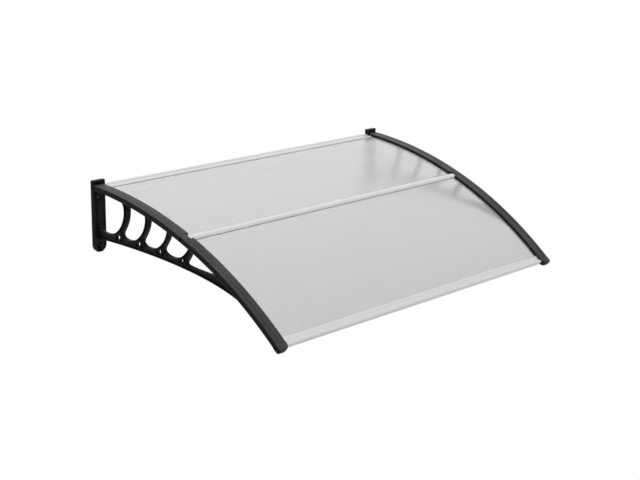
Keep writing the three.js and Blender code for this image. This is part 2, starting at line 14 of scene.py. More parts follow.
import bpy
import numpy as np
import numpy.typing as npt
from mathutils import Matrix
from mathutils.geometry import delaunay_2d_cdt


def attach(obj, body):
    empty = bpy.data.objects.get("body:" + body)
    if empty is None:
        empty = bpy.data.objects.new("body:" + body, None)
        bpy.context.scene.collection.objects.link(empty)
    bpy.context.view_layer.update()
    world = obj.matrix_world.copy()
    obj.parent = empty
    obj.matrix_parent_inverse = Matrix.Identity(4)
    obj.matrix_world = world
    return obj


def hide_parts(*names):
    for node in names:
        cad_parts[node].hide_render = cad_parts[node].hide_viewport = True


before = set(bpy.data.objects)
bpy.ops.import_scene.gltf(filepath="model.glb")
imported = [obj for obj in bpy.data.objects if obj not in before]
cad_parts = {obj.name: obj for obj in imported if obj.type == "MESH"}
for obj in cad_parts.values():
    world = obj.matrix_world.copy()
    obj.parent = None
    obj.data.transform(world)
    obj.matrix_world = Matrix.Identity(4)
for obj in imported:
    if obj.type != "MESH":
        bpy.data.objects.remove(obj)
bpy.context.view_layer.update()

Array = npt.NDArray[np.float64]
Index = npt.NDArray[np.int64]
Colour = tuple[float, float, float]
LOG = logging.getLogger("awning")
MM = 0.001
BODY = "root"
EDGE_ATTRIBUTE = "edge"
SHARP_ANGLE = math.radians(42)
WHITE = (1.0, 1.0, 1.0, 1.0)
# Radii of small edges and corners
BOLD_EDGE = 0.8 * MM
FINE_EDGE = 0.5 * MM
FINE_CORNER = 0.4 * MM
TIGHT_CORNER = 0.3 * MM
HOLLOW_CORNER = 0.2 * MM
# How far a cutting tool reaches past what it cuts
OVERRUN = 1 * MM
# Share of a round's radius at which a point past the round keeps the flat flat
GUARD_SHARE = 0.4
# An outline is filled only on its inside, and points nearer than this, in millimetres, become one
FILL_INSIDE = 1
FILL_TOLERANCE = 1e-5
# Least reach of an opening's side, the rate that counts as none, and the halvings of a search
LEAST_REACH = 0.1 * MM
TINY = 1e-9
HALVINGS = 24
# Sockets of the Mix node for colours, by number because it has several of each name
MIX_FACTOR = 0
MIX_FIRST = 6
MIX_SECOND = 7
MIX_RESULT = 2


class Side(Enum):
    """The two sides of the awning, for someone facing the wall."""

    LEFT = "left"
    RIGHT = "right"


class Row(Enum):
    """The rows of rails, panels and clamps, from the wall outwards."""

    REAR = "rear"
    MIDDLE = "middle"
    FRONT = "front"


class Slot(Enum):
    """Material slots of the record."""

    BRACKET = "bracket_plastic"
    CLAMP = "clamp_plastic"
    SHEET = "roof_sheet"
    RAIL = "rail_aluminium"
    SCREW = "screw_steel"


def unit(vectors: Array) -> Array:
    """Vectors of length one along the last axis."""
    return vectors / np.linalg.norm(vectors, axis=-1, keepdims=True)


def rounded(corners: Sequence[tuple[float, float, float]], steps: int = 5) -> tuple[Array, Array]:
    """Closed outline with an arc at each corner.

    With h half of the angle between a corner's two sides, an arc of radius r starts r / tan h along each side
    and turns about the point r / sin h along the bisector. A point past each end of the arc keeps the flats
    flat.

    Args:
        corners: Place and radius of each corner, in order round the outline.
        steps: Straight pieces in each arc.

    Returns:
        Points (k, 2), and for each point 1 on an outer round and 0 elsewhere.
    """
    table = np.array(corners, float)
    corner, radius = table[:, :2], table[:, 2:]
    back = unit(np.roll(corner, 1, axis=0) - corner)
    ahead = unit(np.roll(corner, -1, axis=0) - corner)
    half = np.arccos(np.clip((back * ahead).sum(1, keepdims=True), -1, 1)) / 2
    run = radius / np.tan(half)
    centre = corner + unit(back + ahead) * radius / np.sin(half)
    first, last = corner + back * run, corner + ahead * run
    turn = np.pi - 2 * half
    t = np.linspace(0, 1, steps + 1)
    arc = centre[:, None] + (
        np.sin((1 - t) * turn)[..., None] * (first - centre)[:, None]
        + np.sin(t * turn)[..., None] * (last - centre)[:, None]
    ) / np.sin(turn)[..., None]
    guard = GUARD_SHARE * radius
    before, after = first + back * guard, last + ahead * guard
    points = np.concatenate([before[:, None], arc, after[:, None]], axis=1)
    crossing = ahead[:, 0] * back[:, 1] - ahead[:, 1] * back[:, 0]
    outer = (crossing * winding(corner) > 0).astype(float)
    edge = np.repeat(outer[:, None], points.shape[1], axis=1)
    edge[:, [0, -1]] = 0
    return points.reshape(-1, 2), edge.ravel()


def circle(centre: tuple[float, float], diameter: float, steps: int = 24) -> Array:
    """Points (steps, 2) evenly round a circle."""
    turn = np.linspace(0, 2 * np.pi, steps, endpoint=False)
    return np.array(centre) + diameter / 2 * np.stack([np.cos(turn), np.sin(turn)], axis=1)


def pane(y: float, width: float, low: float, high: float) -> Array:
    """Outline (k, 2) of a rail's hollow: a rectangle about a y, between two heights, with eased corners."""
    corners = [(-1, low), (1, low), (1, high), (-1, high)]
    return rounded([(y + side * width / 2, n, HOLLOW_CORNER) for side, n in corners], 2)[0]


def winding(loop: Array) -> float:
    """1 for a closed outline that runs counter-clockwise and -1 for the other way: the sign of its area."""
    following = np.roll(loop, -1, axis=0)
    return float(np.sign((loop[:, 0] * following[:, 1] - loop[:, 1] * following[:, 0]).sum()))


def outline_normals(loop: Array) -> Array:
    """Outward normals (k, 2) of a closed outline: its run from neighbour to neighbour, turned a quarter."""
    along = unit(np.roll(loop, -1, axis=0) - np.roll(loop, 1, axis=0))
    return winding(loop) * np.stack([along[:, 1], -along[:, 0]], axis=1)


def fill(
    loops: Sequence[Array], guides: Sequence[Array] = (), loose: Array | None = None
) -> tuple[Array, Index]:
    """Triangles of the flat region between an outer loop and the loops of its holes, by constrained Delaunay.

    Args:
        loops: The outer loop, then one loop for each hole, each (k, 2).
        guides: Closed loops inside the region that the triangles keep to.
        loose: Single points inside the region, (k, 2).

    Returns:
        Points (n, 2) and triangles (m, 3).
    """
    every = [loop if winding(loop) > 0 else loop[::-1] for loop in (*loops, *guides)]
    start = np.cumsum([0, *map(len, every)])
    members = [np.arange(a, b) for a, b in zip(start[:-1], start[1:])]
    edges = [np.stack([m, np.roll(m, -1)], axis=1) for m in members[len(loops):]]
    corners = np.vstack(every if loose is None else [*every, loose]) / MM
    vertices, _, faces, _, _, origins = delaunay_2d_cdt(
        corners.tolist(),
        np.vstack(edges).tolist() if edges else [],
        [m.tolist() for m in members[:len(loops)]],
        FILL_INSIDE,
        FILL_TOLERANCE,
        True,
    )
    points = np.array([tuple(vertex) for vertex in vertices]) * MM
    return points, np.array(faces)[[origin == [0] for origin in origins]]


def border_sides(triangles: Index) -> Index:
    """Sides that only one triangle has.

    Args:
        triangles: Corner numbers (m, 3).

    Returns:
        Directed sides (k, 2).
    """
    sides = np.vstack([triangles[:, [0, 1]], triangles[:, [1, 2]], triangles[:, [2, 0]]])
    _, where, uses = np.unique(np.sort(sides, axis=1), axis=0, return_inverse=True, return_counts=True)
    return sides[uses[where.ravel()] == 1]


def lying(points: Array) -> Array:
    """Points turned about the y axis, so that what runs along +z then runs along +x."""
    return points[:, [2, 1, 0]] * [1, 1, -1]


def off_wall(points: Array) -> Array:
    """Points given as x, height and distance from the wall, in the row frame."""
    return points[..., [0, 2, 1]] * [1, -1, 1]


def new_object(name: str, data: bpy.types.ID) -> bpy.types.Object:
    """An object of the given data, put in the scene.

    Args:
        name: The object's name.
        data: Its mesh, lamp or camera.

    Returns:
        The object.
    """
    item = bpy.data.objects.new(name, data)
    bpy.context.scene.collection.objects.link(item)
    return item


def stand(item: bpy.types.Object, right: Array, up: Array, back: Array, place: Sequence[float]) -> None:
    """Puts a lamp or camera at a place.

    Args:
        item: The lamp or camera.
        right: Direction of its x axis.
        up: Direction of its y axis.
        back: Direction of its z axis, away from what it looks at.
        place: Where it stands.
    """
    turn = np.eye(4)
    turn[:3] = np.stack([right, up, back, place], axis=1)
    item.matrix_world = Matrix(turn.tolist())


@dataclass
class Shell:
    """A closed surface: its points, its faces by corner count, and which points lie on a rounded edge."""

    points: Array
    faces: list[Index]
    edge: Array

    @classmethod
    def from_rings(cls, rings: Array, edge: Array) -> "Shell":
        """Quads between neighbouring rings, with a flat face over the first and the last ring.

        Args:
            rings: Points (m, k, 3) of m closed rings.
            edge: Edge weights that broadcast to (m, k).

        Returns:
            The closed shell.
        """
        count, around = rings.shape[:2]
        index = np.arange(count * around).reshape(count, around)
        following = np.roll(index, -1, axis=1)
        quads = np.stack([index[:-1], following[:-1], following[1:], index[1:]], axis=-1).reshape(-1, 4)
        weights = np.broadcast_to(edge, (count, around)).ravel()
        return cls(rings.reshape(-1, 3), [quads, index[:1, ::-1], index[-1:]], weights).outward()

    @classmethod
    def turned(cls, profile: Array, steps: int = 32) -> "Shell":
        """A profile of (radius, height) points, which starts and ends on the axis, turned about the z axis.

        Args:
            profile: Points (k, 2) from the lower end to the upper end.
            steps: Points round the axis.

        Returns:
            The closed shell.
        """
        turn = np.linspace(0, 2 * np.pi, steps, endpoint=False)
        radius, height = profile[1:-1, :1], profile[1:-1, 1:]
        level = np.broadcast_to(height, (len(radius), steps))
        rings = np.stack([radius * np.cos(turn), radius * np.sin(turn), level], axis=-1)
        return cls.from_rings(rings, np.zeros(1))

    @classmethod
    def extruded(cls, loops: Sequence[Array], weights: Array, start: float, end: float) -> "Shell":
        """A section with holes, given in (y, n), carried straight along x.

        Args:
            loops: The outer loop, then one loop for each hole.
            weights: Edge weights of the outer loop.
            start: First x.
            end: Last x.

        Returns:
            The closed shell.
        """
        section = np.vstack(loops)
        flat, triangles = fill(loops)
        nearest = ((flat[:, None] - section[None]) ** 2).sum(-1).argmin(1)
        triangles = nearest[triangles]
        count = len(section)
        first = np.cumsum([0, *map(len, loops)])
        index = [np.arange(a, b) for a, b in zip(first[:-1], first[1:])]
        walls = [np.stack([k, np.roll(k, -1), np.roll(k, -1) + count, k + count], axis=1) for k in index]
        facing = [winding(loops[0]), *[-winding(hole) for hole in loops[1:]]]
        walls = [wall if way > 0 else wall[:, ::-1] for wall, way in zip(walls, facing)]
        points = np.vstack([np.insert(section, 0, x, axis=1) for x in (start, end)])
        edge = np.tile(np.concatenate([weights, np.zeros(count - len(weights))]), 2)
        return cls(points, [np.vstack(walls), triangles[:, ::-1], triangles + count], edge).outward()

    def volume(self) -> float:
        """Enclosed volume: a sixth of the sum of the triple products of each face's triangles.

        Returns:
            The volume, which is negative where the faces point in.
        """
        total = 0.0
        for group in self.faces:
            corner = self.points[group]
            total += float((corner[:, :1] * np.cross(corner[:, 1:-1], corner[:, 2:])).sum())
        return total / 6

    def outward(self) -> "Shell":
        """Turns the faces round where they point in.

        Returns:
            The same shell.
        """
        if self.volume() < 0:
            self.faces = [group[:, ::-1] for group in self.faces]
        return self

    def mapped(self, place: Callable[[Array], Array]) -> "Shell":
        """The shell with its points sent through a function, and its faces pointing out."""
        return Shell(place(self.points), self.faces, self.edge).outward()

    def to_mesh(self, name: str) -> bpy.types.Mesh:
        """The shell as a Blender mesh, with its edge weights as an attribute.

        Args:
            name: The mesh's name.

        Returns:
            The mesh.
        """
        mesh = bpy.data.meshes.new(name)
        mesh.from_pydata(self.points.tolist(), [], [f for group in self.faces for f in group.tolist()])
        mesh.update()
        weights = mesh.attributes.new(EDGE_ATTRIBUTE, "FLOAT", "POINT")
        weights.data.foreach_set("value", self.edge.astype(np.float32))
        return mesh


def mirrored(shell: Shell) -> Shell:
    """The shell on the other side of the plane X = 0."""
    return shell.mapped(lambda points: points * [-1, 1, 1])


def combined(body: Shell, added: Sequence[Shell] = (), cut: Sequence[Shell] = ()) -> Shell:
    """One body out of closed shells: the added ones are joined to the first, and the cut ones are taken away.

    Args:
        body: The first shell.
        added: Shells that become part of it.
        cut: Shells whose room is taken out.

    Returns:
        The joined and cut shell, in triangles.
    """
    base = new_object("combined", body.to_mesh("combined"))
    used = [base]
    for operation, shells in (("UNION", added), ("DIFFERENCE", cut)):
        for shell in shells:
            tool = new_object("tool", shell.to_mesh("tool"))
            used.append(tool)
            modifier = base.modifiers.new(operation.lower(), "BOOLEAN")
            modifier.operation = operation
            modifier.solver = "MANIFOLD"
            modifier.object = tool
    made = base.evaluated_get(bpy.context.evaluated_depsgraph_get()).to_mesh()
    made.calc_loop_triangles()
    points = np.empty(len(made.vertices) * 3, np.float32)
    made.vertices.foreach_get("co", points)
    triangles = np.empty(len(made.loop_triangles) * 3, np.int32)
    made.loop_triangles.foreach_get("vertices", triangles)
    edge = np.zeros(len(made.vertices), np.float32)
    if EDGE_ATTRIBUTE in made.attributes:
        made.attributes[EDGE_ATTRIBUTE].data.foreach_get("value", edge)
    for item in used:
        mesh = item.data
        bpy.data.objects.remove(item)
        bpy.data.meshes.remove(mesh)
    faces = triangles.reshape(-1, 3).astype(np.int64)
    return Shell(points.reshape(-1, 3).astype(float), [faces], edge.astype(float)).outward()


@dataclass(frozen=True)
class Layout:
    """The bend that every piece follows, and the places that the pieces share."""

    width: float = 1200 * MM
    radius: float = 1200 * MM
    wall_slope: float = math.radians(4.5)
    sheet: float = 3 * MM
    rear_length: float = 357.5 * MM
    front_length: float = 401.5 * MM
    clearance: float = 0.3 * MM
    edge_gap: float = 0.5 * MM
    hole_clearance: float = 0.35 * MM
    beam_width: float = 38 * MM
    rim_width: float = 15 * MM
    rim_rise: float = 10.2 * MM
    seam_round: float = 1.6 * MM
    ledge: float = 3.5 * MM
    clamp_drop: float = 0.3 * MM
    middle_boss: float = 11.5 * MM
    plate_width: float = 42.5 * MM
    plate_thickness: float = 12 * MM
    middle_web: float = 2 * MM
    middle_crown: float = 22 * MM
    middle_rise: float = 7 * MM
    nose_length: float = 11 * MM
    clamp_screw_inset: float = 5.5 * MM
    clamp_screw_count: int = 3
    bend_step: float = 7 * MM
    fewest_steps: int = 8
    end_ease: float = 0.4 * MM

    @property
    def outer(self) -> float:
        """Outer side of the left bracket."""
        return -self.width / 2

    @property
    def inner(self) -> float:
        """Inner side of the left beam."""
        return self.outer + self.beam_width

    @property
    def rim_inner(self) -> float:
        """Inner side of the left beam's rim."""
        return self.outer + self.rim_width

    @property
    def boss_inner(self) -> float:
        """Inner end of the boss on the left rim, where the middle rail starts."""
        return self.rim_inner + self.middle_boss

    @property
    def clamp_top(self) -> float:
        """Top of a clamp and of the boss, off the sheet's middle."""
        return self.rim_rise - self.clamp_drop

    @property
    def plate_inner(self) -> float:
        """Inner side of the left wall plate."""
        return self.outer + self.plate_width

    @property
    def seat(self) -> float:
        """Distance from the sheet's middle to what it bears on."""
        return self.sheet / 2 + self.clearance

    @property
    def beam_bottom(self) -> float:
        """Underside of the beam, off the sheet's middle."""
        return -self.seat - self.ledge

    @property
    def rear_edge(self) -> float:
        """Rear edge of the rear panel."""
        return self.plate_thickness + 2 * self.edge_gap

    @property
    def middle(self) -> float:
        """Middle of the joint between the panels."""
        return self.rear_edge + self.rear_length + self.edge_gap + self.middle_web / 2

    @property
    def front_start(self) -> float:
        """Rear edge of the front panel."""
        return self.middle + self.middle_web / 2 + self.edge_gap

    @property
    def front_edge(self) -> float:
        """Front edge of the front panel."""
        return self.front_start + self.front_length

    @property
    def clamp_screw_x(self) -> float:
        """Where the left clamps' screws stand."""
        return self.inner - self.clamp_screw_inset

    @property
    def bend_centre(self) -> tuple[float, float]:
        """Axis of the bend, as (y, z)."""
        return self.radius * math.sin(self.wall_slope), -self.radius * math.cos(self.wall_slope)

    @property
    def clamp_spans(self) -> dict[Row, tuple[float, float]]:
        """Where each clamp starts and ends along the bend.

        Returns:
            Start and end for each row.
        """
        gap = self.middle_crown / 2 + self.clearance
        rear, front = (self.rear_edge, self.middle - gap), (self.middle + gap, self.front_edge)
        return {Row.REAR: rear, Row.FRONT: front}

    def clamp_screws(self, row: Row) -> Array:
        """Places of a clamp's screws along the bend, each in the middle of an equal share."""
        start, end = self.clamp_spans[row]
        return start + (end - start) * (np.arange(self.clamp_screw_count) + 0.5) / self.clamp_screw_count

    def angle(self, s: Array | float) -> Array | float:
        """Fall of the roof at a place along the bend."""
        return self.wall_slope + s / self.radius

    def place(self, x: Array | float, s: Array | float, n: Array | float) -> Array:
        """Points on a circle of the bend's radius plus n, turned by the fall at s.

        Args:
            x: Across from the middle.
            s: Along the bend from the wall.
            n: Off the middle of the sheet.

        Returns:
            Points (..., 3) in the row frame.
        """
        x, s, n = np.broadcast_arrays(x, s, n)
        y, z = self.bend_centre
        reach = self.radius + n
        return np.stack([x, y - reach * np.sin(self.angle(s)), z + reach * np.cos(self.angle(s))], axis=-1)

    def station(self, s: float) -> Callable[[Array], Array]:
        """A flat frame on the bend, with y back to the wall and z off the sheet.

        Args:
            s: Where the frame stands along the bend.

        Returns:
            A function that carries points in that frame to the row frame.
        """
        sin, cos = math.sin(self.angle(s)), math.cos(self.angle(s))
        turn = np.array([[1, 0, 0], [0, cos, sin], [0, -sin, cos]])
        origin = self.place(0.0, s, 0.0)
        return lambda points: points @ turn + origin

    def along_bend(self, outline: Array, edge: Array, start: float, end: float) -> Shell:
        """A section in (x, n) carried along the bend, drawn in by a little at both ends to round them.

        Args:
            outline: Points (k, 2) of the section.
            edge: Edge weights of the section.
            start: First place along the bend.
            end: Last place along the bend.

        Returns:
            The closed strip.
        """
        ease = self.end_ease
        count = max(self.fewest_steps, round((end - start) / self.bend_step))
        inset = outline - outline_normals(outline) * ease
        s = np.concatenate([[start], np.linspace(start + ease, end - ease, count), [end]])
        sections = np.stack([inset, *[outline] * count, inset])
        return Shell.from_rings(self.place(sections[..., 0], s[:, None], sections[..., 1]), edge)


class Bound(Protocol):
    """One side of an opening in the lattice, seen from a point inside the opening."""

    def reach(self, origin: Array, heading: Array, inset: Array) -> Array:
        """Distance to the side along rays from a point in the opening.

        Args:
            origin: The point (2,).
            heading: Directions (k, 2) of the rays.
            inset: How far the side is moved inwards on each ray, (k,).

        Returns:
            Distances (k,).
        """


@dataclass(frozen=True)
class Circle:
    """A circle that an opening lies within or outside of."""

    centre: Array
    radius: float

    def chords(self, origin: Array, heading: Array, radius: Array) -> tuple[Array, Array]:
        """Where each ray crosses a circle about the centre, from the quadratic of its distance.

        Args:
            origin: Start of the rays.
            heading: Directions (k, 2) of the rays.
            radius: Radius of the circle for each ray, (k,).

        Returns:
            Distance (k,) to the middle of each ray's chord, and the square of half the chord's length.
        """
        offset = origin - self.centre
        middle = -(heading @ offset)
        return middle, middle * middle - offset @ offset + radius ** 2


class InCircle(Circle):
    """The opening lies inside the circle."""

    def reach(self, origin: Array, heading: Array, inset: Array) -> Array:
        """Far crossing of each ray with the circle."""
        middle, square = self.chords(origin, heading, self.radius - inset)
        return middle + np.sqrt(np.maximum(0, square))


class OffCircle(Circle):
    """The opening lies outside the circle."""

    def reach(self, origin: Array, heading: Array, inset: Array) -> Array:
        """Near crossing of each ray with the circle, or no bound where it misses."""
        middle, square = self.chords(origin, heading, self.radius + inset)
        return np.where((middle > 0) & (square > 0), middle - np.sqrt(np.maximum(square, 0)), np.inf)


@dataclass(frozen=True)
class OverLine:
    """The opening lies on the side of a line that its normal points to."""

    start: Array
    normal: Array

    def reach(self, origin: Array, heading: Array, inset: Array) -> Array:
        """Height over the line, less the inset, over the rate at which each ray comes down to it.

        Args:
            origin: Start of the rays.
            heading: Directions (k, 2) of the rays.
            inset: How far the line is moved inwards on each ray, (k,).

        Returns:
            Distances (k,), without end for rays that don't come down.
        """
        rate = -(heading @ self.normal)
        height = self.normal @ (origin - self.start) - inset
        return np.where(rate > TINY, height / np.maximum(rate, TINY), np.inf)


def floor_side(start: Array, end: Array) -> OverLine:
    """The opening lies over a line that runs outwards from the wall."""
    along = unit(end - start)
    return OverLine(start, np.array([along[1], -along[0]]))


def wall_side(reach: float) -> OverLine:
    """The opening lies further from the wall than this."""
    return OverLine(np.array([-reach, 0.0]), np.array([-1.0, 0.0]))


def tip_side(reach: float) -> OverLine:
    """The opening lies nearer to the wall than this."""
    return OverLine(np.array([-reach, 0.0]), np.array([1.0, 0.0]))


@dataclass(frozen=True)
class Opening:
    """An opening in the lattice, as the star of rays from its centre that its sides cut off."""

    centre: Array
    sides: tuple[Bound, ...]
    points: int
    sharpness: float
    inset: float = 0.0

    def radius(self, heading: Array, inset: Array) -> Array:
        """Soft minimum of the sides' reaches: the sum of their powers -p, to the power -1/p.

        Args:
            heading: Directions (k, 2) from the centre.
            inset: How far the sides move inwards on each of them, (k,).

        Returns:
            Distances (k,) from the centre to the outline.
        """
        reaches = np.stack([side.reach(self.centre, heading, inset + self.inset) for side in self.sides])
        powers = (np.maximum(reaches, LEAST_REACH) / MM) ** -self.sharpness
        return powers.sum(0) ** (-1 / self.sharpness) * MM

    def outline(self, inset: float) -> Array:
        """The opening's outline, drawn in by an inset or grown where that is negative.

        Args:
            inset: How far the sides move inwards.

        Returns:
            Points (k, 2) round the centre.
        """
        turn = np.linspace(0, 2 * np.pi, self.points, endpoint=False)
        heading = np.stack([np.cos(turn), np.sin(turn)], axis=1)
        return self.centre + heading * self.radius(heading, np.full(self.points, inset))[:, None]

    def distance(self, points: Array, limit: float) -> Array:
        """How far the outline grows to reach each point, found by halving the range.

        Args:
            points: Points (k, 2).
            limit: Largest distance that matters.

        Returns:
            Distances (k,), at most the limit.
        """
        offset = points - self.centre
        length = np.linalg.norm(offset, axis=1)
        heading = offset / np.maximum(length, TINY)[:, None]
        low, high = np.zeros(len(points)), np.full(len(points), limit)
        for _ in range(HALVINGS):
            guess = (low + high) / 2
            short = self.radius(heading, -guess) < length
            low, high = np.where(short, guess, low), np.where(short, high, guess)
        return (low + high) / 2


@dataclass(frozen=True)
class Rib:
    """An arc rib, with the reach of the strut at its foot.

    It has the centre of its hollow side, the radius of its back, and how much higher the back's centre is.
    """

    centre: Array
    outer: float
    taper: float
    strut: float

    @property
    def reach(self) -> float:
        """Distance of the centre from the wall."""
        return -float(self.centre[0])

    def back(self) -> OffCircle:
        """Back of the rib. Its centre lies higher than the hollow's, so the rib thins towards its foot."""
        return OffCircle(self.centre + [0, self.taper], self.outer)

    def back_low(self, reach: float) -> float:
        """Height of the back's lower side at a distance from the wall."""
        return float(self.centre[1]) + self.taper - math.sqrt(self.outer ** 2 - (reach - self.reach) ** 2)


@dataclass(frozen=True)
class Lattice:
    """The open work under a beam: arc ribs between the beam and a chord, with flanges round each opening.

    A flange's section rises up a drafted wall, bends at its shoulder, runs flat and falls to the web. The
    draft, the shoulder, the shoulder's drop and the fall are shares of the edge's round.
    """

    layout: Layout
    depth: float = 16 * MM
    web: float = 5 * MM
    flange: float = 3 * MM
    edge_round: float = 0.8 * MM
    draft: float = 0.15
    shoulder: float = 0.45
    shoulder_drop: float = 0.3
    fall: float = 0.4
    rib_count: int = 4
    rib_radius: float = 76 * MM
    rib_thickness: float = 13.4 * MM
    rib_thinning: float = 1.5 * MM
    rib_taper: float = 0.28
    rib_pitch: float = 87.5 * MM
    first_rib: float = 48 * MM
    last_rib_shift: float = 4 * MM
    rib_sink: float = 0.5 * MM
    strut_reach: float = 60 * MM
    strut_step: float = 4.5 * MM
    strut: float = 3 * MM
    slit_length: float = 23 * MM
    slit_step: float = 1.3 * MM
    slit_depth: float = 6 * MM
    slit_inset: float = 0.5 * MM
    chord_depth: float = 9.5 * MM
    chord_drop: float = 142.8 * MM
    chord_root_pull: float = 140 * MM
    chord_tip_pull: float = 141 * MM
    chord_tip_reach: float = 620 * MM
    last_bay: float = 486 * MM
    last_bay_lift: float = 13 * MM
    sharpness: float = 9
    last_sharpness: float = 3.8
    bay_points: int = 120
    slit_points: int = 44
    edge_points: int = 160

    @property
    def beam_radius(self) -> float:
        """Radius of the beam's underside."""
        return self.layout.radius + self.layout.beam_bottom

    @property
    def bend_centre(self) -> Array:
        """Axis of the bend, as (y, z)."""
        return np.array(self.layout.bend_centre)

    @property
    def tip_angle(self) -> float:
        """Fall of the beam's underside where the chord meets it."""
        return math.asin((self.chord_tip_reach + self.bend_centre[0]) / self.beam_radius)

    @property
    def flange_steps(self) -> list[float]:
        """Distances from an opening at which the flange's section bends."""
        r, f = self.edge_round, self.flange
        return [self.draft * r, self.shoulder * r, r, f - r, f - self.fall * r, f]

    def beam_low(self, reach: float) -> Array:
        """Point of the beam's underside: the height on its circle at a distance from the wall.

        Args:
            reach: The distance.

        Returns:
            The point, as (y, z).
        """
        y, z = self.bend_centre
        sin = (reach + y) / self.beam_radius
        return np.array([-reach, z + self.beam_radius * np.sqrt(1 - sin * sin)])

    def chord_low(self) -> Array:
        """Underside of the chord: a cubic Bezier curve, level at the plate and along the beam at its tip.

        Returns:
            Points (k, 2) from the plate to the tip.
        """
        tip = self.beam_low(self.chord_tip_reach)
        root = np.array([-self.layout.plate_thickness, -self.chord_drop])
        along = np.array([math.cos(self.tip_angle), math.sin(self.tip_angle)])
        pulls = np.stack([root, root - [self.chord_root_pull, 0], tip + self.chord_tip_pull * along, tip])
        t = np.linspace(0, 1, self.edge_points)[:, None]
        return np.hstack([(1 - t) ** 3, 3 * t * (1 - t) ** 2, 3 * t * t * (1 - t), t ** 3]) @ pulls

    def chord_top(self, reach: float) -> Array:
        """Point (y, z) on the chord's upper edge at a distance from the wall."""
        low = self.chord_low()
        return np.array([-reach, np.interp(reach, -low[:, 0], low[:, 1]) + self.chord_depth])

    @property
    def ribs(self) -> list[Rib]:
        """The ribs, each a little thinner than the one before, with its back sunk into the chord.

        Returns:
            The ribs from the wall outwards.
        """
        made = []
        for k in range(self.rib_count):
            thickness = self.rib_thickness - k * self.rib_thinning
            outer, taper = self.rib_radius + thickness, self.rib_taper * thickness
            rise = outer - taper - self.rib_sink
            reach = self.first_rib + k * self.rib_pitch + (k == self.rib_count - 1) * self.last_rib_shift
            strut = reach + self.strut_reach - k * self.strut_step
            made.append(Rib(self.chord_top(reach) + [0, rise], outer, taper, strut))
        return made

    def bays(self) -> list[Opening]:
        """The large openings: before the first rib, between the ribs and past the last one.

        Returns:
            The openings from the wall outwards.
        """
        ribs = self.ribs
        plate = self.layout.plate_thickness
        made = []
        for k in range(self.rib_count + 1):
            behind = ribs[k - 1] if k > 0 else None
            before = ribs[k] if k < self.rib_count else None
            start = plate if behind is None else behind.reach + behind.outer
            end = self.last_bay if before is None else before.reach + self.rib_radius
            foot = plate if behind is None else behind.strut + self.strut / 2
            lift = self.last_bay_lift if before is None else 0.0
            sides: list[Bound] = [
                InCircle(self.bend_centre, self.beam_radius),
                floor_side(self.chord_top(foot), self.chord_top(end) + [0, lift]),
                wall_side(foot),
                tip_side(end) if before is None else InCircle(before.centre, self.rib_radius),
            ]
            if behind is not None:
                sides.append(behind.back())
            reach = (start + end) / 2
            centre = (self.beam_low(reach) + self.chord_top(reach)) / 2
            sharpness = self.last_sharpness if before is None else self.sharpness
            made.append(Opening(centre, tuple(sides), self.bay_points, sharpness))
        return made

    def slits(self) -> list[Opening]:
        """The small openings between a rib's foot, its strut and the chord, each a little shorter.

        Returns:
            The openings from the wall outwards.
        """
        made = []
        for k, rib in enumerate(self.ribs):
            end = rib.strut - self.strut / 2
            start = end - self.slit_length + k * self.slit_step
            reach = end - self.slit_depth
            floor = floor_side(self.chord_top(rib.reach), self.chord_top(end))
            centre = np.array([-reach, (rib.back_low(reach) + self.chord_top(reach)[1]) / 2])
            sides = (rib.back(), tip_side(end), floor, wall_side(start))
            made.append(Opening(centre, sides, self.slit_points, self.sharpness, self.slit_inset))
        return made

    def outline(self) -> Array:
        """Outline of the whole lattice, sunk into the plate and half into the beam's ledge.

        Returns:
            Points (k, 2): the chord's underside, an arc in the ledge, and the heel in the plate.
        """
        sunk = self.layout.ledge / 2
        back = -self.layout.plate_thickness / 2
        low = self.chord_low()
        angle = np.linspace(self.tip_angle, 0, self.edge_points, endpoint=False)
        arc = self.bend_centre + (self.beam_radius + sunk) * np.stack([-np.sin(angle), np.cos(angle)], axis=1)
        arc = arc[arc[:, 0] < back - sunk]
        heel = np.array([[back, arc[-1, 1]], [back, low[0, 1]]])
        return np.vstack([low, arc, heel])

    def rise(self, distance: Array) -> tuple[Array, Array]:
        """Half depth of the lattice at a distance from an edge, along the flange's section.

        Args:
            distance: Distance from the nearest edge.

        Returns:
            Half depth, and the edge weight, which is 1 on the rounds.
        """
        top, low = self.depth / 2, self.web / 2
        wall, eased = top - self.edge_round, top - self.shoulder_drop * self.edge_round
        stations = [0, *self.flange_steps, 2 * self.flange]
        heights = [0, wall, eased, top, top, eased, low, low]
        weights = [0, 1, 1, 0, 0, 1, 0, 0]
        return np.interp(distance, stations, heights), np.interp(distance, stations, weights)

